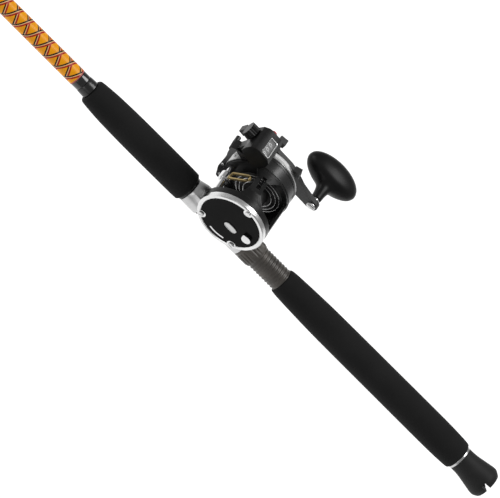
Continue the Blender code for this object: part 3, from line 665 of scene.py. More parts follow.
def turned(name: str, axis: Axis, centre: Point, profile: Sequence[Point],
           sides: int = FINE_SIDES) -> bpy.types.Object:
    """Turns a profile of (position, radius) round an axis.

    A profile whose ends both have radius 0 is solid, and any other closes on itself round a bore.
    """
    rings = []
    for position, radius in profile:
        outline = circle(centre, radius, sides) if radius > 0 else [centre]
        rings.append([axis.point(position, u, v) for u, v in outline])
    solid_body = profile[0][1] == 0 and profile[-1][1] == 0
    return mesh_piece(name, rings, loop=not solid_body)


def sleeve(name: str, axis: Axis, centre: Point, bore: float, outer: Sequence[Point],
           sides: int = FINE_SIDES) -> bpy.types.Object:
    """Turns a tube with a straight bore round its outer profile."""
    return turned(name, axis, centre, [*outer, (outer[-1][0], bore), (outer[0][0], bore)], sides)


def extruded(name: str, axis: Axis, outline: Sequence[Point], start: float, end: float,
             edge: float = 0.0) -> bpy.types.Object:
    """Extrudes an outline, with its end edges rounded where edge is above 0."""
    middle = (sum(u for u, _ in outline) / len(outline), sum(v for _, v in outline) / len(outline))
    reach = max(math.dist(point, middle) for point in outline)
    steps = [(start, 0.0), (end, 0.0)]
    if edge:
        near = edge * 0.3
        steps = [(start, edge), (start + near, near), (start + edge, 0.0),
                 (end - edge, 0.0), (end - near, near), (end, edge)]
    rings = [[axis.point(position, *blend(middle, point, 1 - inset / reach)) for point in outline]
             for position, inset in steps]
    return mesh_piece(name, rings)


def carve(piece: bpy.types.Object, *tools: bpy.types.Object) -> bpy.types.Object:
    """Cuts tool pieces out of a piece for good and removes them."""
    for tool in tools:
        change = piece.modifiers.new("cut", "BOOLEAN")
        change.operation = "DIFFERENCE"
        change.object = tool
    view = bpy.context.evaluated_depsgraph_get()
    data = bpy.data.meshes.new_from_object(piece.evaluated_get(view))
    name = piece.name
    for old in (piece, *tools):
        bpy.data.objects.remove(old, do_unlink=True)
    return tidy_piece(name, data)


def joined(name: str, pieces: Sequence[bpy.types.Object]) -> bpy.types.Object:
    """Makes one piece of several meshes that don't touch, and removes them."""
    work = bmesh.new()
    for piece in pieces:
        work.from_mesh(piece.data)
        bpy.data.objects.remove(piece, do_unlink=True)
    data = bpy.data.meshes.new(name)
    work.to_mesh(data)
    work.free()
    return tidy_piece(name, data)


def soften(piece: bpy.types.Object, width: float, segments: int = 2) -> None:
    """Rounds the sharp edges of a piece by width, in millimetres, with a modifier."""
    weld = piece.modifiers.new("weld", "WELD")
    weld.merge_threshold = 1e-6
    if width > 0:
        bevel = piece.modifiers.new("round_edges", "BEVEL")
        bevel.width = width * MM
        bevel.segments = segments
        bevel.limit_method = "ANGLE"
        bevel.angle_limit = math.radians(30.0)
    split = piece.modifiers.new("keep_sharp", "EDGE_SPLIT")
    split.split_angle = math.radians(40.0)
    even = piece.modifiers.new("even_shading", "WEIGHTED_NORMAL")
    even.weight = 80


# Sub-assemblies

@dataclass
class SubAssembly:
    """A group of pieces that are built and dressed together."""

    finishes: list[tuple[bpy.types.Object, Finish]] = field(default_factory=list)

    def build(self) -> None:
        """Makes the group's new pieces and prepares its CAD nodes."""
        raise NotImplementedError

    def dress(self) -> None:
        """Gives every piece its finish."""
        for piece, finish in self.finishes:
            piece.data.materials.clear()
            piece.data.materials.append(finish.material())
            log.info("%s: %s", piece.name, finish.name)

    def add(self, piece: bpy.types.Object, body: str, finish: Finish, *stands_for: str) -> bpy.types.Object:
        """Puts a new piece on its CAD body.

        Args:
            piece: The piece, in its place at rest.
            body: The CAD body that it moves with.
            finish: Its finish.
            stands_for: The CAD nodes that it is shown in place of.

        Returns:
            The piece.
        """
        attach(piece, body)
        if stands_for:
            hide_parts(*stands_for)
        self.finishes.append((piece, finish))
        return piece

    def keep(self, node: str, finish: Finish, edge: float = 0.25) -> None:
        """Shows a CAD node, with its edges rounded and its own finish."""
        piece = frame["nodes"][node]
        normals = piece.data.attributes.get("custom_normal")
        if normals is not None:
            piece.data.attributes.remove(normals)
        piece.data.shade_smooth()
        soften(piece, edge)
        self.finishes.append((piece, finish))


ROD = (0.0, 0.0)
BLANK_RADIUS = 8.85
TIP_RADIUS = 1.7
TAPER_START = 600.0
ROD_LENGTH = 1830.0
BORE = 9.15


def blank_radius(y: float) -> float:
    """Gives the blank's radius, which falls towards the tip."""
    share = max(y - TAPER_START, 0.0) / (ROD_LENGTH - TAPER_START)
    return TIP_RADIUS + (BLANK_RADIUS - TIP_RADIUS) * (1 - share ** 1.5)


@dataclass
class Handle(SubAssembly):
    """The butt cap, the foam grips, their trim rings and the blank."""

    cap_profile: tuple[Point, ...] = ((0.0, 14.0), (1.2, 15.6), (5.0, 17.4), (9.0, 17.5), (18.0, 15.9),
                                      (27.0, 14.3), (33.0, 13.6), (40.7, 13.5))
    slot_width: float = 5.0
    slot_depth: float = 8.0
    rear_profile: tuple[Point, ...] = ((43.6, 13.9), (44.2, 15.0), (46.5, 16.1), (60.0, 16.9), (85.0, 17.3),
                                       (150.0, 17.25), (225.0, 17.1), (257.0, 16.6), (290.0, 15.4),
                                       (299.6, 14.5), (301.0, 13.4))
    fore_profile: tuple[Point, ...] = ((436.8, 14.9), (438.2, 16.0), (441.0, 16.6), (464.0, 16.9),
                                       (514.0, 16.9), (546.0, 16.3), (562.0, 15.45), (574.0, 14.3),
                                       (576.6, 13.4), (577.4, 12.2))

    def cap(self) -> bpy.types.Object:
        """Makes the rubber butt cap with its crossed slots."""
        outer = eased([(0.0, 12.5), (0.0, 14.6), *self.cap_profile[2:-1], (40.7, 13.5)], 1.6)
        inner = [(40.7, BORE), (13.0, BORE), (13.0, 0.0)]
        body = turned("butt_boot", Axis.Y, ROD, [(0.0, 0.0), *outer, *inner])
        tools = []
        for turn in (1, -1):
            half, reach = self.slot_width / 2, 20.0
            bar = [(-reach, -half), (reach, -half), (reach, half), (-reach, half)]
            slot = [((u - turn * v) / math.sqrt(2), (turn * u + v) / math.sqrt(2)) for u, v in bar]
            tools.append(extruded(f"slot_{turn}", Axis.Y, slot, -1.0, self.slot_depth))
        return carve(body, *tools)

    def build(self) -> None:
        """Makes the handle's pieces and the blank."""
        cap = self.add(self.cap(), "rod", Finishes.RUBBER, "butt_cap")
        soften(cap, 0.4)
        for name, start, end, finish in (("butt_ring", 41.0, 43.2, Finishes.RING),
                                         ("seat_ring", 434.3, 436.5, Finishes.BLACK_GLOSS)):
            outer = eased([(start, 13.4), (start, 14.0), (end, 14.0), (end, 13.4)], 0.5)
            self.add(sleeve(f"{name}_trim", Axis.Y, ROD, BORE, outer), "rod", finish, name)
        for name, profile in (("rear_grip", self.rear_profile), ("fore_grip", self.fore_profile)):
            outer = curve_through(profile, 4)
            self.add(sleeve(f"{name}_foam", Axis.Y, ROD, BORE, outer), "rod", Finishes.FOAM, name)
        outer = eased([(577.7, 9.3), (577.7, 9.9), (579.0, 10.1), (586.0, 9.8), (588.0, 9.45)], 0.5)
        collar = sleeve("winding_check", Axis.Y, ROD, BORE, outer)
        self.add(collar, "rod", Finishes.BLACK_GLOSS, "check_collar")
        stations = [14.0, 300.0, 588.0, *(600.0 + 30.0 * i for i in range(42))]
        outer = [(y, blank_radius(y)) for y in stations if y <= ROD_LENGTH]
        self.add(turned("epoxy_blank_tube", Axis.Y, ROD, [(14.0, 0.0), *outer, (ROD_LENGTH, 0.0)], 48),
                 "rod", Finishes.BLANK, "rod_blank")


@dataclass
class Wraps(SubAssembly):
    """The diamond wrap over the blank and the trim at its two ends."""

    start: float = 597.2
    end: float = 842.0
    height: float = 0.75

    def build(self) -> None:
        """Makes the wrap's sleeve, its end trims and the hosel winding."""
        stations = [self.start + (self.end - self.start) * i / 24 for i in range(25)]
        outer = [(y, blank_radius(y) + self.height) for y in stations]
        inner = [(y, blank_radius(y) + 0.05) for y in reversed(stations)]
        wrap = turned("diamond_wrap_sleeve", Axis.Y, ROD, outer + inner)
        self.add(wrap, "rod", Finishes.WRAP, "wrap_sleeve")
        for name, first, last, finish in (("hosel_winding", 588.2, 597.0, Finishes.BLANK),
                                          ("end_winding", 842.2, 850.0, Finishes.THREAD),
                                          ("end_gold_winding", 850.2, 852.2, Finishes.GOLD_THREAD)):
            base = blank_radius(last)
            outer = eased([(first, base + 0.25), (first + 0.4, base + 0.62), (last - 0.6, base + 0.62),
                           (last, base + 0.25)], 0.4)
            self.add(sleeve(name, Axis.Y, ROD, base + 0.03, outer), "rod", finish)


@dataclass
class Guides(SubAssembly):
    """The line guides, the tip-top and the windings that hold them."""

    places: tuple[tuple[float, float, float], ...] = ((930.0, 10.0, 30.0), (1190.0, 7.5, 23.0),
                                                      (1420.0, 6.0, 18.0), (1630.0, 5.0, 14.0))
    foot_length: float = 14.0

    def winding(self, name: str, start: float, end: float) -> bpy.types.Object:
        """Makes the winding over one foot of a guide.

        Args:
            name: The piece's name.
            start: Where it starts along the rod.
            end: Where it ends.

        Returns:
            A tapered sleeve that rises over the foot.
        """
        rings = []
        for share in (0.0, 0.06, 0.15, 0.5, 0.85, 0.94, 1.0):
            y = start + (end - start) * share
            swell = math.sin(math.pi * min(max(share, 0.08), 0.92)) ** 0.35
            radius = blank_radius(y) + 0.15 + 0.35 * swell
            ring = []
            for i in range(USUAL_SIDES):
                degrees = 360.0 * i / USUAL_SIDES
                off_top = min(degrees, 360.0 - degrees)
                crest = math.exp(-(off_top / (2300.0 / (radius * 10))) ** 2)
                ring.append(Axis.Y.point(y, *on_circle(ROD, radius + 1.5 * crest * swell, degrees)))
            rings.append(ring)
        return mesh_piece(name, rings)

    def build(self) -> None:
        """Makes the windings and inserts, and keeps the frames."""
        for number, (y, hole, height) in enumerate(self.places, 1):
            self.keep(f"guide_frame_{number}", Finishes.GUIDE, 0.35)
            centre = (blank_radius(y) + height, 0.0)
            bore, rim = hole, hole + 1.2
            section = eased([(y - 2.0, bore + 0.5), (y - 1.4, rim), (y + 1.4, rim), (y + 2.0, bore + 0.5),
                             (y + 0.8, bore), (y - 0.8, bore)], 0.8, closed=True)
            self.add(turned(f"guide_insert_{number}", Axis.Y, centre, section), "rod", Finishes.CERAMIC,
                     f"guide_ring_{number}")
            reach = 0.75 * height
            for side, start in (("front", y + reach - 1.0), ("rear", y - reach - self.foot_length)):
                end = start + self.foot_length + 1.0
                self.add(self.winding(f"guide_winding_{number}_{side}", start, end), "rod", Finishes.THREAD)
        self.keep("tip_top", Finishes.GUIDE, 0.3)
        section = eased([(1829.9, 3.2), (1829.9, 3.8), (1832.7, 3.8), (1832.7, 3.2), (1831.9, 2.8),
                         (1830.7, 2.8)], 0.5, closed=True)
        self.add(turned("tip_insert", Axis.Y, (8.0, 0.0), section), "rod", Finishes.CERAMIC)
        base = blank_radius(1812.0)
        outer = eased([(1799.0, base), (1800.5, base + 0.5), (1811.0, base + 0.8), (1813.5, base + 0.5)], 0.8)
        self.add(sleeve("tip_winding", Axis.Y, ROD, base - 0.2, outer), "rod", Finishes.THREAD)


@dataclass
class ReelSeat(SubAssembly):
    """The threaded seat, its nut, the two hoods and the reel's foot."""

    thread_pitch: float = 4.0
    thread_top: float = 12.85
    thread_root: float = 12.25
    seat: tuple[float, float] = (301.3, 434.0)
    nut: tuple[float, float] = (336.0, 355.0)
    nut_ribs: int = 22

    def barrel(self) -> bpy.types.Object:
        """Makes the seat's barrel with its screw thread."""
        sides = 48
        step = 0.4
        count = int((self.seat[1] - self.seat[0]) / step)
        rings = []
        for k in range(count + 1):
            y = self.seat[0] + step * k
            ring = []
            for i in range(sides):
                turn = (y / self.thread_pitch - i / sides) % 1.0
                rise = min(max(2.2 - abs(turn - 0.5) * 8.0, 0.0), 1.0)
                radius = self.thread_root + (self.thread_top - self.thread_root) * rise
                ring.append(Axis.Y.point(y, *on_circle(ROD, radius, 360.0 * i / sides)))
            rings.append(ring)
        bore = [[Axis.Y.point(y, *on_circle(ROD, BORE, 360.0 * i / sides)) for i in range(sides)]
                for y in reversed(self.seat)]
        return mesh_piece("threaded_seat", rings + bore, loop=True)

    def lock_nut(self) -> bpy.types.Object:
        """Makes the nut: a smooth collar, coarse ribs and a tapered end."""
        start, end = self.nut
        stations = ((start, 13.15, 0.0), (start + 0.8, 13.6, 0.1), (start + 3.4, 14.35, 1.0),
                    (start + 9.0, 14.4, 1.0), (end - 4.6, 14.4, 1.0), (end - 3.8, 14.2, 0.2),
                    (end - 3.4, 13.9, 0.0), (end - 3.0, 13.9, 0.0), (end - 2.7, 14.35, 0.0),
                    (end - 0.4, 14.35, 0.0), (end, 14.0, 0.0))
        sides = self.nut_ribs * 8
        depth = 0.75
        rings = []
        for y, radius, share in stations:
            ring = []
            for i in range(sides):
                wave = 0.5 - 0.5 * math.cos(2 * math.pi * i * self.nut_ribs / sides)
                valley = max(0.0, 1 - wave * 1.7)
                ring.append(Axis.Y.point(y, *on_circle(ROD, radius - depth * share * valley,
                                                       360.0 * i / sides)))
            rings.append(ring)
        rings += [[Axis.Y.point(y, *on_circle(ROD, 13.0, 360.0 * i / sides)) for i in range(sides)]
                  for y in (end, start)]
        return mesh_piece("knurled_nut", rings, loop=True)

    def build(self) -> None:
        """Makes the seat's pieces and keeps the hoods and the foot."""
        self.add(self.barrel(), "rod", Finishes.SEAT, "seat_barrel")
        self.add(self.lock_nut(), "nut", Finishes.SEAT, "lock_nut")
        self.keep("sliding_hood", Finishes.HOOD, 0.5)
        self.keep("fixed_hood", Finishes.HOOD, 0.6)
        self.keep("reel_foot", Finishes.CHROME, 0.5)


@dataclass
class LeftSide(SubAssembly):
    """The left plate, its bezel, screws, badge, stripe and clicker button."""

    screw_angles: tuple[float, ...] = (90.0, -44.0, -131.0)
    screw_circle: float = 32.5
    face: float = -32.4
    badge_half: Point = (7.6, 4.1)
    badge_place: Point = (-4.6, -4.8)
    stripe: tuple[float, float, float, float] = (27.3, 29.2, -76.0, -113.0)

    def screw(self, name: str, centre: Point, slant: float) -> bpy.types.Object:
        """Makes a slotted pan-head screw that faces -X."""
        head = eased([(-34.8, 0.0), (-34.75, 1.5), (-34.3, 2.7), (-33.9, 3.0), (-33.3, 3.0)], 0.5)
        body = turned(name, Axis.X, centre, [*head, (-33.3, 1.3), (-21.5, 1.3), (-21.5, 0.0)], USUAL_SIDES)
        return carve(body, extruded("slot", Axis.X, slot_outline(centre, 4.0, 0.42, slant), -36.0, -34.1))

    def badge(self) -> bpy.types.Object:
        """Makes the blank barrel-shaped badge with its raised rim."""
        centre = (REEL[0] + self.badge_place[0], REEL[1] + self.badge_place[1])
        half_long, half_tall = self.badge_half
        outline = []
        for i in range(64):
            angle = 2 * math.pi * i / 64
            cos, sin = math.cos(angle), math.sin(angle)
            scale = (abs(cos) ** 2.6 + abs(sin) ** 2.6) ** (-1 / 2.6)
            outline.append((half_long * cos * scale, half_tall * sin * scale))
        rings = []
        for x, inset in ((-32.35, 0.0), (-33.1, 0.0), (-33.35, 0.25), (-33.35, 0.7), (-33.1, 0.95),
                         (-33.12, 1.4), (-33.25, 3.0)):
            rings.append([Axis.X.point(x, centre[0] + u * (1 - inset / half_long),
                                       centre[1] + v * (1 - inset / half_tall)) for u, v in outline])
        rings.append([Axis.X.point(-33.3, *centre)])
        return mesh_piece("blank_badge", rings)

    def arc_stripe(self) -> bpy.types.Object:
        """Makes the plain inlaid stripe near the plate's lower rim."""
        inner, outer, first, last = self.stripe
        count = 21
        degrees = [first + (last - first) * i / (count - 1) for i in range(count)]
        outline = ([on_circle(REEL, inner, a) for a in degrees]
                   + [on_circle(REEL, outer, a) for a in reversed(degrees)])
        rings = [[Axis.X.point(x, u, v) for u, v in outline] for x in (self.face + 0.2, self.face - 0.12)]
        return mesh_piece("plate_stripe", rings)

    def build(self) -> None:
        """Makes the side's fine pieces and keeps the plates."""
        self.keep("left_side_plate", Finishes.PLATE, 0.3)
        self.keep("left_bezel", Finishes.BEZEL, 0.3)
        self.keep("clicker_button", Finishes.SCREW, 0.5)
        for number, angle in enumerate(self.screw_angles, 1):
            centre = on_circle(REEL, self.screw_circle, angle)
            self.add(self.screw(f"slotted_screw_{number}", centre, 0.6 + 0.9 * number), "rod",
                     Finishes.SCREW, f"plate_screw_{number}")
        self.add(self.badge(), "rod", Finishes.BADGE, "side_badge")
        self.add(self.arc_stripe(), "rod", Finishes.BEZEL)


@dataclass
class SpoolGroup(SubAssembly):
    """The frame, the spool between its rings and its shaft and bearings."""

    flange: float = 27.3
    bright_rings: tuple[float, ...] = (24.6, 20.8, 16.3)

    def spool(self) -> bpy.types.Object:
        """Makes the spool with rounded flanges."""
        profile = [(-22.4, 26.5), (-21.6, 27.3), (-20.4, 27.3), (-19.4, 25.0), (-17.8, 11.5), (16.0, 11.5),
                   (17.4, 25.0), (18.2, 27.3), (19.4, 27.3), (20.0, 26.5), (20.0, 3.3), (-22.4, 3.3)]
        return turned("wound_spool", Axis.X, SPOOL, eased(profile, 0.5, closed=True), 96)

    def rings_on(self, name: str, side: int) -> bpy.types.Object:
        """Makes the bright machined rings on a flange's inner face.

        Args:
            name: The piece's name.
            side: 1 for the crank's side and -1 for the other.

        Returns:
            Three narrow rings, half sunk into the face.
        """
        parts = []
        for radius in self.bright_rings:
            share = (radius - 11.5) / (25.0 - 11.5)
            x = 16.0 + 1.4 * share if side > 0 else -17.8 - 1.6 * share
            section = [(x - side * 0.22 + 0.42 * math.cos(a), radius + 0.55 * math.sin(a))
                       for a in (2 * math.pi * i / 10 for i in range(10))]
            parts.append(turned(f"{name}_{radius}", Axis.X, SPOOL, section, 96))
        return joined(name, parts)

    def build(self) -> None:
        """Makes the spool's pieces and keeps the frame."""
        self.keep("reel_frame", Finishes.FRAME_GREY, 0.45)
        self.add(self.spool(), "spool", Finishes.BLACK_SATIN, "spool")
        self.add(self.rings_on("flange_rings_right", 1), "spool", Finishes.TURNED)
        self.add(self.rings_on("flange_rings_left", -1), "spool", Finishes.TURNED)
        self.keep("spool_shaft", Finishes.STEEL)
        self.keep("left_bearing", Finishes.TURNED)
        self.keep("right_bearing", Finishes.TURNED)
        self.keep("spool_pinion", Finishes.STEEL, 0.0)


@dataclass
class LevelWind(SubAssembly):
    """The crossed-groove worm, its shield, the carriage and the line guide."""

    worm_span: Point = (-20.0, 17.8)
    worm_radius: float = 2.4
    groove_pitch: float = 7.5
    groove_depth: float = 0.7

    def worm(self) -> bpy.types.Object:
        """Makes the worm with its two crossed grooves."""
        start, end = self.worm_span
        sides, step = 28, 0.3
        count = int((end - start) / step)
        rings = [[Axis.X.point(-26.6, *WORM)], self.ring(-26.6, 1.6, sides), self.ring(start, 1.6, sides)]
        for k in range(count + 1):
            x = start + step * k
            ring = []
            for i in range(sides):
                depth = 0.0
                for hand in (1, -1):
                    turn = (x / self.groove_pitch + hand * i / sides) % 1.0
                    depth = max(depth, min(max(1.5 - abs(turn - 0.5) * 12.0, 0.0), 1.0))
                radius = self.worm_radius - self.groove_depth * depth
                ring.append(Axis.X.point(x, *on_circle(WORM, radius, 360.0 * i / sides)))
            rings.append(ring)
        rings += [self.ring(end, 1.6, sides), self.ring(29.0, 1.6, sides), [Axis.X.point(29.0, *WORM)]]
        return mesh_piece("crossed_worm", rings)

    @staticmethod
    def ring(x: float, radius: float, sides: int) -> Ring:
        """Gives a ring of the worm's shaft."""
        return [Axis.X.point(x, u, v) for u, v in circle(WORM, radius, sides)]

    def build(self) -> None:
        """Makes the worm and keeps the rest."""
        self.add(self.worm(), "worm", Finishes.STEEL, "worm_shaft")
        self.keep("worm_gear", Finishes.NYLON, 0.0)
        self.keep("worm_shield", Finishes.CHROME, 0.1)
        self.keep("line_carriage", Finishes.CHROME, 0.4)
        self.keep("line_guide_loop", Finishes.BRASS, 0.6)


@dataclass
class RightSide(SubAssembly):
    """The trim plate, the gear case, the side cover, the lever and the gears."""

    cover_screw_angles: tuple[float, ...] = (35.0, 155.0, 275.0)
    cover_screw_circle: float = 23.5
    shaft_hole: tuple[float, float, float] = (47.0, 51.0, 3.2)
    nose_screws: tuple[Point, ...] = ((38.4, -10.3), (30.6, -25.4))
    nose_edge: tuple[Point, ...] = ((37.5, -6.0), (40.2, 5.0), (42.6, 14.0), (43.6, 21.4))

    def cover(self) -> bpy.types.Object:
        """Makes the domed cover with a groove round its rim and turned rings on its face."""
        face = [(50.0, 0.0), (50.0, 8.0), (49.8, 8.3), (50.0, 8.6), (50.0, 26.4), (49.9, 27.6), (49.2, 29.0)]
        rim = [(42.0, 33.0), (39.4, 34.4), (38.8, 36.2), (38.3, 37.1), (37.8, 37.4), (37.0, 37.4),
               (36.7, 36.9), (33.3, 36.9)]
        inner = [(33.3, 35.9), (38.0, 33.8), (48.2, 27.4), (48.2, 0.0)]
        body = turned("domed_cover", Axis.X, REEL, face + rim + inner, 96)
        start, end, radius = self.shaft_hole
        hole = [(start, 0.0), (start, radius), (end, radius), (end, 0.0)]
        return carve(body, turned("hole", Axis.X, CRANK, hole, USUAL_SIDES))

    def nose_trim(self) -> bpy.types.Object:
        """Makes the bright crescent in front of the frame's ring: partly a silver trim and partly a painted
        highlight on the frame's front.
        """
        inner = [on_circle((0.0, 0.0), 37.9, -8.0 + 4.0 * i) for i in range(10)]
        outline = [*inner, *reversed(curve_through(self.nose_edge, 4))]
        return extruded("nose_trim", Axis.X, [(REEL[0] + u, REEL[1] + v) for u, v in outline], 20.05, 20.55)

    @staticmethod
    def small_screw(name: str, centre: Point, seat: float, height: float, radius: float) -> bpy.types.Object:
        """Makes a small slotted screw head.

        Args:
            name: The piece's name.
            centre: The screw's axis, as (Y, Z).
            seat: Where the head sits along X.
            height: The head's height along X, negative where it faces -X.
            radius: The head's radius.

        Returns:
            The screw head.
        """
        profile = eased([(seat + height, 0.0), (seat + height, radius * 0.8), (seat + height * 0.6, radius),
                         (seat, radius), (seat, 0.0)], 0.3)
        head = turned(name, Axis.X, centre, profile, USUAL_SIDES)
        ends = sorted((seat + height * 0.55, seat + height * 1.4))
        return carve(head, extruded("slot", Axis.X, slot_outline(centre, 4.0, 0.35), *ends))

    def build(self) -> None:
        """Makes the cover and the screws, and keeps the rest."""
        self.keep("trim_plate", Finishes.BLACK_GLOSS, 0.25)
        # The silver crescent is partly a trim and partly a painted highlight on the front of the frame.
        self.add(self.nose_trim(), "rod", Finishes.TRIM)
        self.keep("gear_case", Finishes.BLACK_GLOSS, 0.5)
        self.add(self.cover(), "rod", Finishes.COVER, "side_cover")
        # This black band fills the groove round the cover's rim and stands in for the shade in that groove:
        # painted shade.
        band = eased([(33.4, 37.0), (33.4, 37.5), (36.6, 37.5), (36.6, 37.0)], 0.3)
        self.add(sleeve("cover_groove_shade", Axis.X, REEL, 36.93, band, 96), "rod", Finishes.BLACK_GLOSS)
        self.keep("free_spool_lever", Finishes.BLACK_GLOSS, 0.5)
        for number, angle in enumerate(self.cover_screw_angles, 1):
            centre = on_circle(REEL, self.cover_screw_circle, angle)
            self.add(self.small_screw(f"cover_screw_{number}", centre, 50.0, 0.9, 2.4), "rod", Finishes.SCREW)
        for number, place in enumerate(self.nose_screws, 1):
            centre = (REEL[0] + place[0], REEL[1] + place[1])
            self.add(self.small_screw(f"nose_screw_{number}", centre, 20.6, -1.0, 1.9), "rod", Finishes.SCREW)
        self.keep("drive_gear", Finishes.BRASS, 0.0)
        self.keep("drag_washer", Finishes.FIBRE, 0.1)
        self.keep("drag_plate", Finishes.STEEL, 0.1)


@dataclass
class CrankGroup(SubAssembly):
    """The crank: its shaft, star drag, arm, nut, spindle and paddle knob."""

    sections: tuple[tuple[float, float, float], ...] = (
        (69.9, 5.0, 5.0), (72.0, 5.6, 5.6), (80.0, 6.4, 6.2), (86.0, 8.4, 7.2), (89.5, 13.5, 9.0),
        (92.5, 21.5, 11.3), (96.5, 28.0, 13.2), (101.5, 31.4, 14.0), (106.5, 32.0, 14.0),
        (112.0, 29.6, 13.0), (116.5, 23.5, 10.8), (119.5, 14.5, 7.2), (120.7, 6.5, 3.4), (121.0, 0.5, 0.3))

    def knob(self) -> bpy.types.Object:
        """Makes the paddle knob as one smooth loft round its bore."""
        sides = 64
        bore = 2.4
        rings = []
        for x, half_y, half_z in curve_through(self.sections, 4):
            rings.append([Axis.X.point(x, KNOB[0] + half_y * u, KNOB[1] + half_z * v)
                          for u, v in circle((0.0, 0.0), 1.0, sides)])
        start = self.sections[0][0]
        hollow = [[Axis.X.point(x, u, v) for u, v in circle(KNOB, bore, sides)] for x in (90.6, start)]
        return mesh_piece("paddle_grip", [[Axis.X.point(90.6, *KNOB)], *hollow, *rings])

    def spindle(self) -> bpy.types.Object:
        """Makes the knob's spindle with its slotted head and its collar."""
        profile = [(58.8, 0.0), (58.8, 3.4), (59.4, 4.6), (60.0, 4.9), (60.7, 4.9), (60.7, 2.0), (66.0, 2.0),
                   (66.3, 4.2), (66.7, 4.6), (69.2, 4.6), (69.6, 4.2), (69.6, 2.0), (90.0, 2.0), (90.0, 0.0)]
        body = turned("slotted_spindle", Axis.X, KNOB, profile, USUAL_SIDES)
        return carve(body, extruded("slot", Axis.X, slot_outline(KNOB, 6.0, 0.5), 58.0, 59.5))

    def build(self) -> None:
        """Makes the knob and the spindle, and keeps the rest."""
        self.keep("crank_shaft", Finishes.STEEL, 0.3)
        self.keep("star_drag", Finishes.BLACK_SATIN, 0.5)
        self.keep("crank_arm", Finishes.BLACK_SATIN, 0.9)
        self.keep("handle_nut", Finishes.BLACK_GLOSS, 0.4)
        self.add(self.spindle(), "crank", Finishes.SCREW, "knob_spindle")
        self.add(self.knob(), "paddle", Finishes.GRIP_BLACK, "paddle_knob")


@dataclass
class Counter(SubAssembly):
    """The line counter: its case, window, figure wheels, reset button and knob."""

    wheel_radius: float = 9.4
    reading_angle: float = 108.0
    figure_height: float = 5.4
    figure_width: float = 3.9
    window_x: Point = (17.0, 36.6)
    window_y: Point = (23.4, 31.9)
    roof: tuple[float, float, float] = (22.0, 54.6, 0.1667)
    frame_section: tuple[Point, ...] = ((-0.15, 0.02), (-0.15, 0.55), (-0.05, 0.65), (0.75, 0.65),
                                        (0.9, 0.5), (0.9, 0.02))

    def roof_z(self, ahead: float) -> float:
        """Gives the height of the case's roof at a place ahead of the reel's centre."""
        return REEL[1] + self.roof[1] + self.roof[2] * (ahead - self.roof[0])

    def window_frame(self) -> bpy.types.Object:
        """Makes the bright frame round the window."""
        rings = []
        for margin, lift in self.frame_section:
            corners = [(self.window_x[0] - margin, self.window_y[0] - margin),
                       (self.window_x[1] + margin, self.window_y[0] - margin),
                       (self.window_x[1] + margin, self.window_y[1] + margin),
                       (self.window_x[0] - margin, self.window_y[1] + margin)]
            corners = eased(corners, 0.9 + max(margin, 0.0), closed=True)
            rings.append([Vector((x, REEL[0] + ahead, self.roof_z(ahead) + lift)) for x, ahead in corners])
        return mesh_piece("window_frame", rings, loop=True)

    def figures(self, name: str, middle: float) -> bpy.types.Object:
        """Makes the ten raised figures round a wheel.

        Args:
            name: The piece's name.
            middle: The middle of the wheel along X.

        Returns:
            One mesh of the figures 0 to 9.
        """
        parts = []
        for figure in range(10):
            text = bpy.data.curves.new(f"figure_{figure}", "FONT")
            text.body = str(figure)
            text.align_x = "CENTER"
            text.align_y = "CENTER"
            text.size = 1.0
            text.extrude = 0.02
            text.resolution_u = 4
            holder = bpy.data.objects.new(f"{name}_{figure}", text)
            bpy.context.scene.collection.objects.link(holder)
            view = bpy.context.evaluated_depsgraph_get()
            data = bpy.data.meshes.new_from_object(holder.evaluated_get(view))
            bpy.data.objects.remove(holder, do_unlink=True)
            low = [min(v.co[i] for v in data.vertices) for i in range(2)]
            high = [max(v.co[i] for v in data.vertices) for i in range(2)]
            for v in data.vertices:
                across = (v.co.x - (low[0] + high[0]) / 2) / 0.55 * self.figure_width
                up = ((v.co.y - low[1]) / (high[1] - low[1]) - 0.5) * self.figure_height
                radius = self.wheel_radius + (0.12 if v.co.z > 0 else -0.1)
                degrees = self.reading_angle - 36.0 * figure - math.degrees(up / self.wheel_radius)
                v.co = Axis.X.point(middle + across, *on_circle(WHEEL, radius, degrees)) * MM
            parts.append(bpy.data.objects.new(f"{name}_part_{figure}", data))
        return joined(name, parts)

    def build(self) -> None:
        """Makes the figures and the frame, and keeps the rest."""
        self.keep("counter_case", Finishes.COUNTER, 0.7)
        self.keep("counter_window", Finishes.LENS, 0.1)
        self.add(self.window_frame(), "rod", Finishes.TRIM)
        for name in ("ones", "tens", "hundreds"):
            node = f"digit_wheel_{name}"
            self.keep(node, Finishes.WHEEL, 0.2)
            self.add(self.figures(f"figures_{name}", box_centre(node).x), f"{name}_wheel", Finishes.FIGURE)
        self.keep("reset_button", Finishes.RED, 0.4)
        self.keep("setting_knob", Finishes.GRIP_BLACK, 0.2)


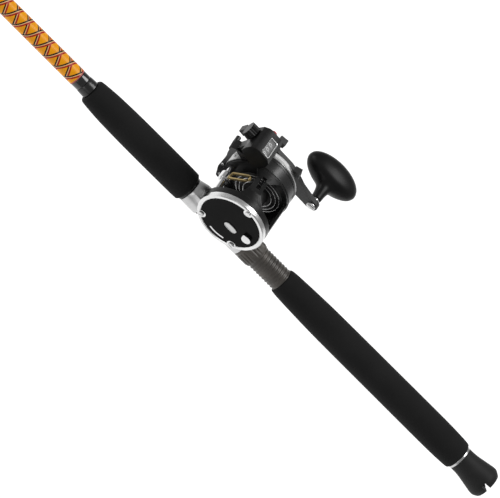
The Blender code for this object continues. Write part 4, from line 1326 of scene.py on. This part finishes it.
@dataclass
class Studio:
    """The pale floor, the soft lights and the camera."""

    right: tuple[float, float, float] = (0.470, -0.688, 0.553)
    up: tuple[float, float, float] = (0.673, 0.685, 0.281)
    target: tuple[float, float, float] = (0.0, 347.0, 0.0)
    distance: float = 20000.0
    view_width: float = 500.0
    sensor: float = 36.0
    floor_height: float = -420.0
    lights: tuple[tuple[str, tuple[float, float, float], float, float, float], ...] = (
        ("key", (0.33, -0.24, 0.91), 1.3, 1.3, 34.0),
        ("fill", (-0.95, 0.25, 0.35), 1.2, 1.0, 5.0),
        ("rim", (0.2, 0.95, 0.35), 1.0, 1.0, 9.0),
    )

    def floor(self) -> None:
        """Makes the floor."""
        reach = 30.0
        height = self.floor_height * MM
        data = bpy.data.meshes.new("floor")
        data.from_pydata([(-reach, -reach, height), (reach, -reach, height), (reach, reach, height),
                          (-reach, reach, height)], [], [(0, 1, 2, 3)])
        plane = bpy.data.objects.new("floor", data)
        bpy.context.scene.collection.objects.link(plane)
        board = Board("pale_floor")
        speckle = board.noise(board.place(), 40.0, 2.0)
        board.shade(Base_Color=board.mix(speckle, grey(0.92), grey(0.95)), Roughness=0.9,
                    Emission_Color=grey(1.0), Emission_Strength=0.42)
        plane.data.materials.append(board.material)

    def light_up(self) -> None:
        """Makes the lights and the pale surroundings."""
        target = Vector(self.target) * MM
        for name, direction, width, height, power in self.lights:
            data = bpy.data.lights.new(name, "AREA")
            data.shape = "RECTANGLE"
            data.size = width
            data.size_y = height
            data.energy = power
            lamp = bpy.data.objects.new(name, data)
            bpy.context.scene.collection.objects.link(lamp)
            way = Vector(direction).normalized()
            lamp.location = target + way * 2.4
            lamp.rotation_mode = "QUATERNION"
            lamp.rotation_quaternion = way.to_track_quat("Z", "Y")
        world = bpy.data.worlds.new("studio")
        world.use_nodes = True
        background = world.node_tree.nodes["Background"]
        background.inputs[0].default_value = grey(1.0)
        background.inputs[1].default_value = 0.3
        bpy.context.scene.world = world

    def camera(self) -> None:
        """Makes the camera."""
        right = Vector(self.right).normalized()
        up = Vector(self.up)
        up = (up - right * up.dot(right)).normalized()
        back = right.cross(up)
        data = bpy.data.cameras.new("camera")
        data.sensor_width = self.sensor
        data.lens = self.sensor * self.distance / self.view_width
        data.clip_end = 100.0
        view = bpy.data.objects.new("camera", data)
        bpy.context.scene.collection.objects.link(view)
        turn = Matrix((right, up, back)).transposed().to_4x4()
        view.matrix_world = Matrix.Translation(Vector(self.target) * MM + back * self.distance * MM) @ turn
        bpy.context.scene.camera = view
        bpy.context.scene.view_settings.view_transform = "Standard"

    def build(self) -> None:
        """Makes the whole studio."""
        self.floor()
        self.light_up()
        self.camera()


def main() -> None:
    """Builds and dresses every sub-assembly in order."""
    logging.basicConfig(level=logging.INFO, format="%(message)s")
    Studio().build()
    for group in (Handle(), Wraps(), Guides(), ReelSeat(), LeftSide(), SpoolGroup(), LevelWind(), RightSide(),
                  CrankGroup(), Counter()):
        group.build()
        group.dress()


if __name__ == "__main__":
    main()
